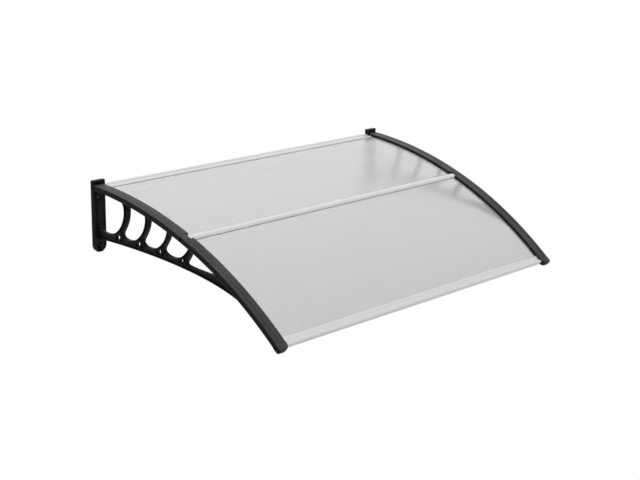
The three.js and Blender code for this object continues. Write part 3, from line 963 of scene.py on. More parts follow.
    def shell(self) -> Shell:
        """The lattice as two mirrored height fields over its outline, which meet in the middle of its depth.

        Each point is as high as the highest flange that reaches it: the height follows the distance to the
        nearest opening, or to the chord's underside. The triangles keep to outlines grown by the flange's
        steps.

        Returns:
            The closed lattice.
        """
        steps = self.flange_steps
        openings = [*self.bays(), *self.slits()]
        outline, low = self.outline(), self.chord_low()
        inward = unit(np.stack([np.gradient(low[:, 1]), -np.gradient(low[:, 0])], axis=1))
        lanes = [low + inward * step for step in steps]
        drawn = outline - outline_normals(outline) * steps[0]
        guides = [drawn, *[o.outline(-step) for o in openings for step in steps]]
        loops = [outline, *[o.outline(0.0) for o in openings]]
        flat, triangles = fill(loops, guides, np.vstack(lanes))
        gap = np.min([o.distance(flat, 2 * self.flange) for o in openings], axis=0)
        below = np.sqrt(((flat[:, None] - low[None]) ** 2).sum(-1)).min(1)
        height, weight = self.rise(np.minimum(gap, below))
        rim = np.zeros(len(flat), bool)
        rim[border_sides(triangles).ravel()] = True
        height[rim] = 0
        middle = self.layout.outer + self.layout.beam_width / 2
        upper = np.insert(flat, 0, middle + height, axis=1)
        lower = np.insert(flat, 0, middle - height, axis=1)
        number = np.cumsum(~rim) - 1 + len(flat)
        twin = np.where(rim, np.arange(len(flat)), number)
        points = np.vstack([upper, lower[~rim]])
        edge = np.concatenate([weight, weight[~rim]])
        return Shell(points, [triangles, twin[triangles][:, ::-1]], edge).outward()


@dataclass(frozen=True)
class Screw:
    """A pan-head screw with a cross recess, along +z from the underside of its head.

    The dome's fall, the flank and the bevel are shares of the head's height, the dome's start and reach are
    shares of its radius, and the arm's fades are shares of the arm's length and width.
    """

    diameter: float
    length: float
    head: float
    head_height: float = 2.4 * MM
    dome_start: float = 0.06
    dome_reach: float = 0.96
    dome_fall: float = 0.5
    dome_power: float = 2.6
    dome_rings: int = 22
    flank: float = 0.42
    bevel: float = 0.1
    neck: float = 0.3 * MM
    point: float = 0.1
    recess: float = 1.3 * MM
    arm: float = 1.7 * MM
    arm_width: float = 0.55 * MM
    length_fade: float = 0.35
    width_fade: float = 0.3
    steps: int = 64

    def shell(self) -> Shell:
        """The screw as rings round its axis, with the recess pressed into the head.

        The head's top falls with a power of the radius. A point is pressed in by the recess's depth, fading
        over the arms' edges, where it lies within an arm's width of one axis and an arm's length of the
        other.

        Returns:
            The closed screw.
        """
        r, h, shank = self.head / 2, self.head_height, self.diameter / 2
        inner = np.linspace(self.dome_start, 1, self.dome_rings) * r * self.dome_reach
        top = np.stack([inner, -h + self.dome_fall * h * (inner / r) ** self.dome_power], axis=1)
        side = np.array([
            [r, -self.flank * h],
            [r, -self.bevel * h],
            [r - self.bevel * h, 0],
            [shank + self.neck, 0],
            [shank, self.neck],
            [shank, self.length - shank],
            [self.point * shank, self.length],
        ])
        profile = np.vstack([top, side])
        turn = np.linspace(0, 2 * np.pi, self.steps, endpoint=False)
        x, y = profile[:, :1] * np.cos(turn), profile[:, :1] * np.sin(turn)
        long, across = np.maximum(abs(x), abs(y)), np.minimum(abs(x), abs(y))
        taper = np.clip((self.arm - long) / (self.length_fade * self.arm), 0, 1)
        narrow = np.clip((self.arm_width - across) / (self.width_fade * self.arm_width), 0, 1)
        pressed = (np.arange(len(profile)) < len(top))[:, None] * taper * narrow
        rings = np.stack([x, y, profile[:, 1:] + self.recess * pressed], axis=-1)
        return Shell.from_rings(rings, np.zeros(1))


@dataclass(frozen=True)
class RailEnd:
    """The screw at a rail's end: its station, its place there, where its head bears and the rail starts."""

    row: Row
    station: float
    y: float
    n: float
    bearing: float
    rail: float


@dataclass(frozen=True)
class Fasteners:
    """All screws of one side, and the room that they take in the other pieces."""

    layout: Layout
    rail_diameter: float = 2.9 * MM
    rail_grip: float = 14 * MM
    clamp_diameter: float = 3.5 * MM
    clamp_grip: float = 5 * MM
    head: float = 7 * MM
    plate_web: float = 14 * MM
    rim_web: float = 13.5 * MM
    bore_steps: int = 24

    @property
    def rail_port(self) -> float:
        """Diameter of the port in a rail's end."""
        return self.rail_diameter + 2 * self.layout.clearance

    def rail_ends(self) -> list[RailEnd]:
        """The three rail screws of the left side.

        Returns:
            Their places from the wall outwards.
        """
        a = self.layout
        half = a.nose_length / 2
        level = (a.seat + a.middle_rise) / 2
        plate, boss, beam = a.plate_inner, a.boss_inner, a.inner
        return [
            RailEnd(Row.REAR, a.rear_edge, 2 * a.edge_gap + half, 0.0, plate - self.plate_web, plate),
            RailEnd(Row.MIDDLE, a.middle, 0.0, level, boss - self.rim_web, boss),
            RailEnd(Row.FRONT, a.front_edge, -a.edge_gap - half, 0.0, beam - self.plate_web, beam),
        ]

    def seated(self, shell: Shell, s: float, shift: Sequence[float]) -> Shell:
        """A shell moved by a shift in the frame of a station on the bend."""
        place = self.layout.station(s)
        return shell.mapped(lambda points: place(points + np.array(shift)))

    def rail_screw(self, end: RailEnd) -> Shell:
        """A rail's left screw, which runs inwards along x.

        Args:
            end: The screw's place.

        Returns:
            The closed screw.
        """
        screw = Screw(self.rail_diameter, end.rail - end.bearing + self.rail_grip, self.head).shell()
        shift = (end.bearing - self.layout.clearance, end.y, end.n)
        return self.seated(screw.mapped(lying), end.station, shift)

    def rail_hole(self, end: RailEnd) -> Shell:
        """Room for a rail screw: a wide bore down to the head's bearing and a narrow one past it.

        Args:
            end: The screw's place.

        Returns:
            The closed cutting tool.
        """
        wide = self.head / 2 + self.layout.hole_clearance
        narrow = self.rail_diameter / 2 + self.layout.hole_clearance
        start, stop = self.layout.outer - OVERRUN, end.rail + OVERRUN
        profile = np.array([
            [0, start], [wide, start], [wide, end.bearing], [narrow, end.bearing], [narrow, stop], [0, stop],
        ])
        return self.seated(Shell.turned(profile).mapped(lying), end.station, (0, end.y, end.n))

    def clamp_screw(self, s: float) -> Shell:
        """A left clamp's screw, from under the ledge.

        Args:
            s: Its place along the bend.

        Returns:
            The closed screw.
        """
        a = self.layout
        start = a.beam_bottom - a.clearance
        screw = Screw(self.clamp_diameter, a.sheet / 2 + self.clamp_grip - start, self.head).shell()
        return self.seated(screw, s, (a.clamp_screw_x, 0, start))

    def clamp_hole(self, s: float, low: float, high: float) -> Shell:
        """A round bore for a clamp screw, between two distances off the sheet's middle.

        Args:
            s: Its place along the bend.
            low: Lower end.
            high: Upper end.

        Returns:
            The closed cutting tool.
        """
        r = self.clamp_diameter / 2 + self.layout.hole_clearance
        bore = Shell.turned(np.array([[0, low], [r, low], [r, high], [0, high]]), self.bore_steps)
        return self.seated(bore, s, (self.layout.clamp_screw_x, 0, 0))


def rounded_slab(
    outline: Callable[[float], tuple[Array, Array]], levels: Array, place: Callable[[Array], Array]
) -> Shell:
    """A slab whose outline is drawn in by a given amount at each level, which rounds its edges.

    Args:
        outline: Points (k, 2) and edge weights of the outline for an inset.
        levels: Inset, height and edge weight of each ring, from one face to the other.
        place: Carries points of outline and height to the row frame.

    Returns:
        The closed slab.
    """
    loops = np.stack([outline(inset)[0] for inset in levels[:, 0]])
    height = np.broadcast_to(levels[:, 1, None, None], (*loops.shape[:2], 1))
    return Shell.from_rings(place(np.concatenate([loops, height], axis=2)), levels[:, 2:])


def quarter(radius: float, height: float, sign: int, steps: int = 5) -> Array:
    """Levels of a quarter round at a slab's face: insets 1 - cos t, and heights 1 - sin t from the face.

    Args:
        radius: The round's radius.
        height: The face's height.
        sign: 1 for an upper face and -1 for a lower one.
        steps: Straight pieces in the round.

    Returns:
        Inset, height and edge weight of each level, towards the face.
    """
    t = np.linspace(0, np.pi / 2, steps + 1)
    heights = height - sign * radius * (1 - np.sin(t))
    return np.stack([radius * (1 - np.cos(t)), heights, np.ones(steps + 1)], axis=1)


@dataclass(frozen=True)
class Bracket:
    """A one-piece bracket: wall plate, beam with rim and ledge, closed tip, and a lattice under the beam.

    The lip and the recess give, for each bend between the plate's border and its sunk middle, how far it lies
    in from the lip's start or the border's width, and how far down from the face or up from the floor.
    """

    layout: Layout
    lattice: Lattice
    fasteners: Fasteners
    rim_round: float = 3.4 * MM
    rim_foot_round: float = 3 * MM
    boss_round: float = 0.7 * MM
    tip_length: float = 21 * MM
    tip_corner: float = 8 * MM
    tip_inner_corner: float = 16 * MM
    tip_corner_steps: int = 10
    tip_step: float = 0.4 * MM
    tip_round: float = 2.5 * MM
    plate_top: float = 21.5 * MM
    plate_height: float = 204 * MM
    plate_border: float = 4 * MM
    plate_recess: float = 2 * MM
    plate_round: float = 1.6 * MM
    plate_corner: float = 2 * MM
    plate_corner_steps: int = 16
    foot_share: float = 0.999
    lip_run: float = 0.6 * MM
    lip: tuple[tuple[float, float], ...] = ((0.0, 0.0), (0.3 * MM, 0.15 * MM), (0.55 * MM, 0.5 * MM))
    recess: tuple[tuple[float, float], ...] = ((0.2 * MM, 0.3 * MM), (0.7 * MM, 0.0))
    bolt_hole: float = 7 * MM
    bolt_seat: float = 16 * MM
    bolt_seat_depth: float = 4 * MM
    bolt_bevel: float = 0.5 * MM
    bolt_steps: int = 48
    upper_bolt_drop: float = 50 * MM

    def beam(self) -> Shell:
        """L-shaped section of rim and ledge, carried along the bend from inside the plate to inside the tip.

        Returns:
            The closed beam.
        """
        a = self.layout
        outline, edge = rounded([
            (a.outer, a.beam_bottom, self.rim_foot_round),
            (a.inner, a.beam_bottom, BOLD_EDGE),
            (a.inner, -a.seat, FINE_EDGE),
            (a.rim_inner, -a.seat, FINE_CORNER),
            (a.rim_inner, a.rim_rise, a.seam_round),
            (a.outer, a.rim_rise, self.rim_round),
        ])
        return a.along_bend(outline, edge, a.plate_thickness / 2, a.front_edge + self.tip_length / 4)

    def tip(self) -> Shell:
        """Block at the beam's front end, with two wide front corners and rounded upper and lower edges.

        Returns:
            The closed block.
        """
        a = self.layout
        rear, front = -a.edge_gap, -a.edge_gap - self.tip_length

        def outline(inset: float) -> tuple[Array, Array]:
            """The block's outline, drawn in.

            Args:
                inset: How far it is drawn in.

            Returns:
                Points (k, 2) and their edge weights.
            """
            return rounded([
                (a.outer + inset, front + inset, self.tip_corner - inset),
                (a.inner - inset, front + inset, self.tip_inner_corner - inset),
                (a.inner - inset, rear - inset, TIGHT_CORNER),
                (a.outer + inset, rear - inset, TIGHT_CORNER),
            ], self.tip_corner_steps)

        low, high = a.beam_bottom - self.tip_step, a.rim_rise + self.tip_step
        levels = np.vstack([quarter(self.tip_round, low, -1)[::-1], quarter(self.tip_round, high, 1)])
        return rounded_slab(outline, levels, a.station(a.front_edge))

    def boss(self) -> Shell:
        """Block on the rim that the middle rail ends against, with its upper edges rounded.

        Returns:
            The closed block.
        """
        a = self.layout
        half, sunk = a.middle_crown / 2, a.rim_inner - OVERRUN

        def outline(inset: float) -> tuple[Array, Array]:
            """The block's outline, drawn in on its free sides.

            Args:
                inset: How far it is drawn in.

            Returns:
                Points (k, 2) and their edge weights.
            """
            return rounded([
                (sunk, -half + inset, TIGHT_CORNER),
                (a.boss_inner - inset, -half + inset, BOLD_EDGE),
                (a.boss_inner - inset, half - inset, BOLD_EDGE),
                (sunk, half - inset, TIGHT_CORNER),
            ])

        foot = [[TIGHT_CORNER, a.seat, 0], [0, a.seat + TIGHT_CORNER, 0]]
        levels = np.vstack([foot, quarter(self.boss_round, a.clamp_top, 1)])
        return rounded_slab(outline, levels, a.station(a.middle))

    def plate(self) -> Shell:
        """Wall plate with a square top, a round foot, a raised border and a sunk middle.

        Returns:
            The closed plate.
        """
        a = self.layout
        foot = self.plate_top - self.plate_height

        def outline(inset: float) -> tuple[Array, Array]:
            """The plate's outline, drawn in. The foot's rounds leave a hair of flat between them.

            Args:
                inset: How far it is drawn in.

            Returns:
                Points (k, 2) and their edge weights.
            """
            turn = self.foot_share * (a.plate_width / 2 - inset)
            corner = max(self.plate_corner - inset, FINE_EDGE)
            return rounded([
                (a.outer + inset, self.plate_top - inset, corner),
                (a.outer + inset, foot + inset, turn),
                (a.plate_inner - inset, foot + inset, turn),
                (a.plate_inner - inset, self.plate_top - inset, corner),
            ], self.plate_corner_steps)

        face, floor = a.plate_thickness, a.plate_thickness - self.plate_recess
        start = self.plate_border - self.lip_run
        levels = np.vstack([
            [[FINE_CORNER, 0, 0], [0, FINE_CORNER, 0]],
            quarter(self.plate_round, face, 1),
            [[start + run, face - fall, float(fall > 0)] for run, fall in self.lip],
            [[self.plate_border + run, floor + rise, 0] for run, rise in self.recess],
        ])
        return rounded_slab(outline, levels, off_wall)

    def bolt_hole_at(self, z: float) -> Shell:
        """Room for a wall bolt: a through bore, a wide seat for its head and a small bevel at the mouth.

        Args:
            z: Height of the bolt.

        Returns:
            The closed cutting tool.
        """
        a = self.layout
        seat, floor = a.plate_thickness - self.bolt_seat_depth, a.plate_thickness - self.plate_recess
        wide, narrow, bevel = self.bolt_seat / 2, self.bolt_hole / 2, self.bolt_bevel
        stop = a.plate_thickness + self.lattice.flange
        profile = np.array([
            [0, -OVERRUN],
            [narrow, -OVERRUN],
            [narrow, seat - bevel],
            [narrow + bevel, seat],
            [wide, seat],
            [wide, floor - bevel],
            [wide + bevel, floor],
            [wide + bevel, stop],
            [0, stop],
        ])
        centre = np.array([a.outer + a.plate_width / 2, 0, z])
        return Shell.turned(profile, self.bolt_steps).mapped(lambda points: off_wall(points) + centre)

    def shell(self) -> Shell:
        """The left bracket: plate, beam, tip, boss and lattice in one body, less room for bolts and screws.

        Returns:
            The closed bracket.
        """
        a, screws = self.layout, self.fasteners
        foot = self.plate_top - self.plate_height
        bolts = [self.plate_top - self.upper_bolt_drop, foot + a.plate_width / 2]
        places = np.concatenate([a.clamp_screws(row) for row in a.clamp_spans])
        cut = [self.bolt_hole_at(z) for z in bolts]
        cut += [screws.rail_hole(end) for end in screws.rail_ends()]
        cut += [screws.clamp_hole(s, a.beam_bottom - OVERRUN, 0.0) for s in places]
        return combined(self.beam(), [self.plate(), self.tip(), self.boss(), self.lattice.shell()], cut)


@dataclass(frozen=True)
class Clamp:
    """A strip that holds the sheet's side edge down on the ledge."""

    layout: Layout
    fasteners: Fasteners
    inner_round: float = 2.8 * MM

    def shell(self, row: Row) -> Shell:
        """A left clamp: its section along the bend, with blind bores for its screws.

        Args:
            row: Which clamp.

        Returns:
            The closed clamp.
        """
        a = self.layout
        outer, top = a.rim_inner + a.clearance, a.clamp_top
        outline, edge = rounded([
            (outer, a.seat, FINE_CORNER),
            (a.inner, a.seat, FINE_EDGE),
            (a.inner, top, self.inner_round),
            (outer, top, a.seam_round),
        ])
        depth = a.sheet / 2 + self.fasteners.clamp_grip + 2 * a.clearance
        bores = [self.fasteners.clamp_hole(s, 0.0, depth) for s in a.clamp_screws(row)]
        return combined(a.along_bend(outline, edge, *a.clamp_spans[row]), cut=bores)


@dataclass(frozen=True)
class Panel:
    """One bent sheet of the roof."""

    layout: Layout
    fasteners: Fasteners
    side_gap: float = 1.2 * MM
    hole_clearance: float = 1.2 * MM
    edge_round: float = 0.5 * MM
    step: float = 9 * MM
    columns: int = 60

    def spans(self) -> dict[Row, tuple[float, float]]:
        """Where each panel starts and ends along the bend.

        Returns:
            Start and end for each row.
        """
        a = self.layout
        rear, front = (a.rear_edge, a.rear_edge + a.rear_length), (a.front_start, a.front_edge)
        return {Row.REAR: rear, Row.FRONT: front}

    def shell(self, row: Row) -> Shell:
        """The sheet as a fine grid bent over x and s, with eased edges and bores for the clamps' screws.

        The flat sheet is split into triangles over (x, s), with loops round its edge and its bores. Its two
        faces lie half a thickness off the bend, and fall by the round's radius on the outermost loops.

        Args:
            row: Which panel.

        Returns:
            The closed sheet.
        """
        a = self.layout
        start, end = self.spans()[row]
        half = -a.rim_inner - self.side_gap
        e = self.edge_round
        s = np.linspace(start, end, round((end - start) / self.step) + 1)
        x = np.linspace(-half, half, self.columns + 1)
        edge_loop = np.vstack([
            np.stack([x, np.full_like(x, start)], axis=1),
            np.stack([np.full_like(s[1:], half), s[1:]], axis=1),
            np.stack([x[-2::-1], np.full_like(x[1:], end)], axis=1),
            np.stack([np.full_like(s[1:-1], -half), s[-2:0:-1]], axis=1),
        ])
        bore = self.fasteners.clamp_diameter + 2 * self.hole_clearance
        places = [(side * a.clamp_screw_x, at) for at in a.clamp_screws(row) for side in (1, -1)]
        holes = [circle(place, bore) for place in places]
        size = np.array([half, (end - start) / 2])
        middle = np.array([0, (start + end) / 2])
        eased = (edge_loop - middle) * (size - e) / size + middle
        guides = [eased, *[circle(place, bore + 2 * e) for place in places]]
        grid = np.stack(np.meshgrid(x[1:-1], s[1:-1]), axis=-1).reshape(-1, 2)
        clear = np.min([np.linalg.norm(grid - np.array(place), axis=1) for place in places], axis=0) > bore
        flat, triangles = fill([edge_loop, *holes], guides, grid[clear])
        border = border_sides(triangles)
        rim = np.zeros(len(flat), bool)
        rim[border.ravel()] = True
        n = np.where(rim, a.sheet / 2 - e, a.sheet / 2)
        points = np.vstack([a.place(flat[:, 0], flat[:, 1], side * n) for side in (1, -1)])
        first, second = border.T
        wall = np.stack([first, first + len(flat), second + len(flat), second], axis=1)
        faces = [triangles, triangles[:, ::-1] + len(flat), wall]
        return Shell(points, faces, np.tile(rim.astype(float), 2)).outward()


@dataclass(frozen=True)
class EdgeRail:
    """An extrusion that closes a panel's edge: a slot between two lips, and a hollow nose with a port."""

    layout: Layout
    fasteners: Fasteners
    lip: float = 16 * MM
    lip_thickness: float = 2.8 * MM
    lip_edge: float = 1 * MM
    lip_slope: float = 2.6 * MM
    lower_lip: float = 12 * MM
    lower_lip_thickness: float = 2.2 * MM
    nose_rise: float = 8 * MM
    nose_drop: float = 6 * MM
    nose_round: float = 2.5 * MM
    ramp_round: float = 1.4 * MM
    slot_round: float = 0.35 * MM
    wall: float = 1.6 * MM
    corner_steps: int = 4

    def section(self, sign: int, stop: float, back: Callable[[float], float]) -> tuple[list[Array], Array]:
        """Section in (y, n) of the rail's station, with d out from the panel's edge and y = sign times d.

        Args:
            sign: 1 towards the wall, -1 towards the front.
            stop: Distance from the panel's edge to the slot's bottom.
            back: Distance of the rail's back at a height.

        Returns:
            The outer loop with the loops of its hollows, and the outer loop's edge weights.
        """
        seat, small = self.layout.seat, self.slot_round
        lip, lower_lip = seat + self.lip_thickness, -seat - self.lower_lip_thickness
        outline, edge = rounded([(sign * d, n, r) for d, n, r in [
            (-self.lip, seat, small),
            (stop, seat, small),
            (stop, -seat, small),
            (-self.lower_lip, -seat, FINE_EDGE),
            (-self.lower_lip, lower_lip, BOLD_EDGE),
            (stop, lower_lip, small),
            (stop, -self.nose_drop, FINE_EDGE),
            (back(-self.nose_drop), -self.nose_drop, FINE_EDGE),
            (back(self.nose_rise), self.nose_rise, self.nose_round),
            (stop + self.nose_rise - lip, self.nose_rise, self.ramp_round),
            (stop, lip, self.ramp_round),
            (-self.lip + self.lip_slope, lip, self.ramp_round),
            (-self.lip, seat + self.lip_edge, small),
        ]], self.corner_steps)
        port = self.fasteners.rail_port
        y = sign * (stop + self.layout.nose_length / 2)
        low, high = -self.nose_drop + self.wall, -port / 2 - self.wall
        hollow = pane(y, self.layout.nose_length - 3 * self.wall, low, high)
        return [outline, circle((y, 0.0), port), hollow], edge

    def shell(self, row: Row) -> Shell:
        """The rear rail, whose back stands upright on the wall, or the front rail.

        Args:
            row: Which rail.

        Returns:
            The closed rail.
        """
        a = self.layout
        if row is Row.REAR:
            fall = a.angle(a.rear_edge)
            distance = -float(a.place(0.0, a.rear_edge, 0.0)[1])
            loops, edge = self.section(
                1, 2 * a.edge_gap, lambda n: (distance + n * math.sin(fall)) / math.cos(fall)
            )
            end, station = a.plate_inner + a.clearance, a.rear_edge
        else:
            loops, edge = self.section(-1, a.edge_gap, lambda n: a.edge_gap + a.nose_length)
            end, station = a.inner + a.clearance, a.front_edge
        return Shell.extruded(loops, edge, end, -end).mapped(a.station(station))


@dataclass(frozen=True)
class MiddleRail:
    """The H-shaped extrusion that joins the two panels."""

    layout: Layout
    fasteners: Fasteners
    crown_flat: float = 9 * MM
    crown_edge: float = 0.8 * MM
    crown_round: float = 5 * MM
    hollow_width: float = 3.6 * MM
    hollow_height: float = 1.8 * MM
    hollow_floor: float = 1 * MM
    foot: float = 22 * MM
    foot_thickness: float = 2.2 * MM
    wall: float = 1.6 * MM
    corner_steps: int = 4

    def section(self) -> tuple[list[Array], Array]:
        """Section in (y, n) of the rail's station: its right half and the mirrored left half.

        Returns:
            The outer loop with the loops of its port and hollows, and the outer loop's edge weights.
        """
        a = self.layout
        half, foot, web, rise = a.middle_crown / 2, self.foot / 2, a.middle_web / 2, a.middle_rise
        right = [
            (foot, -a.seat - self.foot_thickness, BOLD_EDGE),
            (foot, -a.seat, FINE_EDGE),
            (web, -a.seat, TIGHT_CORNER),
            (web, a.seat, TIGHT_CORNER),
            (half, a.seat, FINE_CORNER),
            (half, a.seat + self.crown_edge, FINE_CORNER),
            (self.crown_flat / 2, rise, self.crown_round),
        ]
        outline, edge = rounded([*right, *[(-y, n, r) for y, n, r in right[::-1]]], self.corner_steps)
        port = self.fasteners.rail_port
        reach = port / 2 + self.wall + self.hollow_width / 2
        low = a.seat + self.hollow_floor
        hollows = [pane(side * reach, self.hollow_width, low, low + self.hollow_height) for side in (-1, 1)]
        return [outline, circle((0.0, (a.seat + rise) / 2), port), *hollows], edge

    def shell(self) -> Shell:
        """The rail, cut short under the sheet where the ledges pass.

        Returns:
            The closed rail.
        """
        a = self.layout
        end, clear = a.boss_inner + a.clearance, a.inner + a.clearance
        whole = Shell.extruded(*self.section(), end, -end)
        wide = self.foot / 2 + OVERRUN
        low, high = -a.seat - self.foot_thickness - OVERRUN, -a.sheet / 2
        block = np.array([[-wide, low], [wide, low], [wide, high], [-wide, high]])
        notch = Shell.extruded([block], np.zeros(len(block)), end - OVERRUN, clear)
        return combined(whole, cut=[notch, mirrored(notch)]).mapped(a.station(a.middle))


class Value:
    """A socket in arithmetic: each operator adds a Math node."""

    def __init__(self, board: "Board", socket: bpy.types.NodeSocket) -> None:
        """Keeps the socket and the board that its nodes go on."""
        self.board = board
        self.socket = socket

    def math(self, operation: str, *terms: Any) -> "Value":
        """A Math node of the given operation on the terms."""
        node = self.board.add("ShaderNodeMath", {"operation": operation}, dict(enumerate(terms)))
        return Value(self.board, node.outputs[0])

    def __add__(self, other: Any) -> "Value":
        """Sum."""
        return self.math("ADD", self, other)

    def __radd__(self, other: Any) -> "Value":
        """Sum with a number in front."""
        return self.math("ADD", other, self)

    def __sub__(self, other: Any) -> "Value":
        """Difference."""
        return self.math("SUBTRACT", self, other)

    def __rsub__(self, other: Any) -> "Value":
        """Difference with a number in front."""
        return self.math("SUBTRACT", other, self)

    def __mul__(self, other: Any) -> "Value":
        """Product."""
        return self.math("MULTIPLY", self, other)

    def __rmul__(self, other: Any) -> "Value":
        """Product with a number in front."""
        return self.math("MULTIPLY", other, self)

    def clamped(self) -> "Value":
        """The value held between 0 and 1."""
        return self.math("MINIMUM", self.math("MAXIMUM", self, 0.0), 1.0)

    def contrast(self, gain: float) -> "Value":
        """The value's distance from a half, times a gain, about a half again."""
        return self * gain - (gain - 1) / 2

    def swing(self, amount: float) -> "Value":
        """The value's distance from a half, times an amount."""
        return amount * (self - 0.5)


class Board:
    """The node tree of a material or a world."""

    def __init__(self, owner: bpy.types.Material | bpy.types.World) -> None:
        """Starts an empty tree with its output node.

        Args:
            owner: The material or world.
        """
        owner.use_nodes = True
        self.tree = owner.node_tree
        self.tree.nodes.clear()
        kind = "ShaderNodeOutputWorld" if isinstance(owner, bpy.types.World) else "ShaderNodeOutputMaterial"
        self.output = self.tree.nodes.new(kind)

    def add(
        self, kind: str, settings: Mapping[str, Any] | None = None, sockets: Mapping[Any, Any] | None = None
    ) -> bpy.types.Node:
        """Adds a node, sets its settings, then its sockets.

        Args:
            kind: Blender's name of the node's type.
            settings: Attributes of the node.
            sockets: For each input, by name or number, a value, a socket or a Value.

        Returns:
            The node.
        """
        node = self.tree.nodes.new(kind)
        for key, setting in (settings or {}).items():
            setattr(node, key, setting)
        for key, given in (sockets or {}).items():
            source = given.socket if isinstance(given, Value) else given
            if isinstance(source, bpy.types.NodeSocket):
                self.tree.links.new(source, node.inputs[key])
            else:
                node.inputs[key].default_value = source
        return node

    def value(self, node: bpy.types.Node, output: str) -> Value:
        """An output of a node as a value."""
        return Value(self, node.outputs[output])

    def coordinates(self, stretch: tuple[float, float, float] = (1, 1, 1)) -> bpy.types.NodeSocket:
        """Object coordinates, each scaled."""
        source = self.add("ShaderNodeTexCoord").outputs["Object"]
        return self.add("ShaderNodeMapping", {}, {"Vector": source, "Scale": stretch}).outputs[0]

    def noise(self, scale: float, detail: float, stretch: tuple[float, float, float] = (1, 1, 1)) -> Value:
        """Noise over the object, from about 0.25 to 0.75."""
        sockets = {"Vector": self.coordinates(stretch), "Scale": scale, "Detail": detail}
        return self.value(self.add("ShaderNodeTexNoise", {}, sockets), "Fac")

    def cells(self, scale: float) -> Value:
        """Distance from the middle of irregular cells over the object."""
        sockets = {"Vector": self.coordinates(), "Scale": scale}
        return self.value(self.add("ShaderNodeTexVoronoi", {}, sockets), "Distance")

    def edge(self) -> Value:
        """The mesh's own weight of rounded edges."""
        return self.value(self.add("ShaderNodeAttribute", {"attribute_name": EDGE_ATTRIBUTE}), "Fac")

    def mix(self, factor: Value, first: Any, second: Any) -> bpy.types.NodeSocket:
        """A colour between two, by a factor."""
        sockets = {MIX_FACTOR: factor, MIX_FIRST: first, MIX_SECOND: second}
        return self.add("ShaderNodeMix", {"data_type": "RGBA"}, sockets).outputs[MIX_RESULT]

    def tones(self, factor: Value, colour: Colour, shades: tuple[float, float]) -> bpy.types.NodeSocket:
        """A colour between a darker and a lighter shade of one colour, by a factor."""
        return self.mix(factor, *[(*[c * shade for c in colour], 1.0) for shade in shades])

    def bump(self, height: Value, distance: float, strength: float) -> bpy.types.NodeSocket:
        """A normal that leans with a height."""
        sockets = {"Height": height, "Distance": distance, "Strength": strength}
        return self.add("ShaderNodeBump", {}, sockets).outputs[0]

    def finish(self, shader: bpy.types.Node) -> None:
        """Joins a shader to the output."""
        self.tree.links.new(shader.outputs[0], self.output.inputs["Surface"])

    def principled(self, sockets: Mapping[str, Any]) -> None:
        """Joins a Principled shader with these sockets to the output."""
        self.finish(self.add("ShaderNodeBsdfPrincipled", {}, sockets))

    def mixed(self, factor: Value, first: bpy.types.Node, second: bpy.types.Node) -> None:
        """Joins two shaders, mixed by a factor, to the output."""
        shaders = {0: factor, 1: first.outputs[0], 2: second.outputs[0]}
        self.finish(self.add("ShaderNodeMixShader", {}, shaders))


class Finish(Protocol):
    """What a piece's surface is made of."""

    def material(self, name: str) -> bpy.types.Material:
        """The finish as a material of the given name."""


@dataclass(frozen=True)
class MouldedPlastic:
    """Satin black plastic: fine moulded grain, faint flow clouds, and rounded edges that are rubbed smoother
    and made paler, partly as abrasion and partly as a painted highlight.
    """

    colour: Colour
    roughness: float
    specular: float = 0.08
    # Paler edge colour: partly abrasion, partly a painted highlight on the rounded edges.
    worn: Colour = (0.085, 0.085, 0.087)
    wear: float = 0.35
    wear_scale: float = 45.0
    wear_contrast: float = 2.2
    wear_gloss: float = 0.22
    cloud_scale: float = 9.0
    cloud_contrast: float = 2.0
    cloud_shades: tuple[float, float] = (0.75, 1.3)
    cloud_gloss: float = 0.16
    grain_scale: float = 1100.0
    grain_depth: float = 0.06 * MM
    grain_strength: float = 0.6
    grain_gloss: float = 0.1

    def material(self, name: str) -> bpy.types.Material:
        """Clouds mix two shades, and on the edges a paler colour, partly abrasion and partly a painted
        highlight, is mixed in with a lower roughness.

        Args:
            name: The material's name.

        Returns:
            The material.
        """
        made = bpy.data.materials.new(name)
        board = Board(made)
        clouds = board.noise(self.cloud_scale, detail=4)
        grain = board.noise(self.grain_scale, detail=2)
        patches = board.noise(self.wear_scale, detail=4).contrast(self.wear_contrast).clamped()
        # Edge mask for the paler colour and the lower roughness: partly abrasion, partly a painted highlight.
        rub_and_highlight = (board.edge() * patches * self.wear).clamped()
        base = board.tones(clouds.contrast(self.cloud_contrast).clamped(), self.colour, self.cloud_shades)
        uneven = clouds.swing(self.cloud_gloss) + grain.swing(self.grain_gloss)
        board.principled({
            "Base Color": board.mix(rub_and_highlight, base, (*self.worn, 1.0)),
            "Roughness": self.roughness + uneven - self.wear_gloss * rub_and_highlight,
            "Specular IOR Level": self.specular,
            "Normal": board.bump(grain, self.grain_depth, self.grain_strength),
        })
        return made


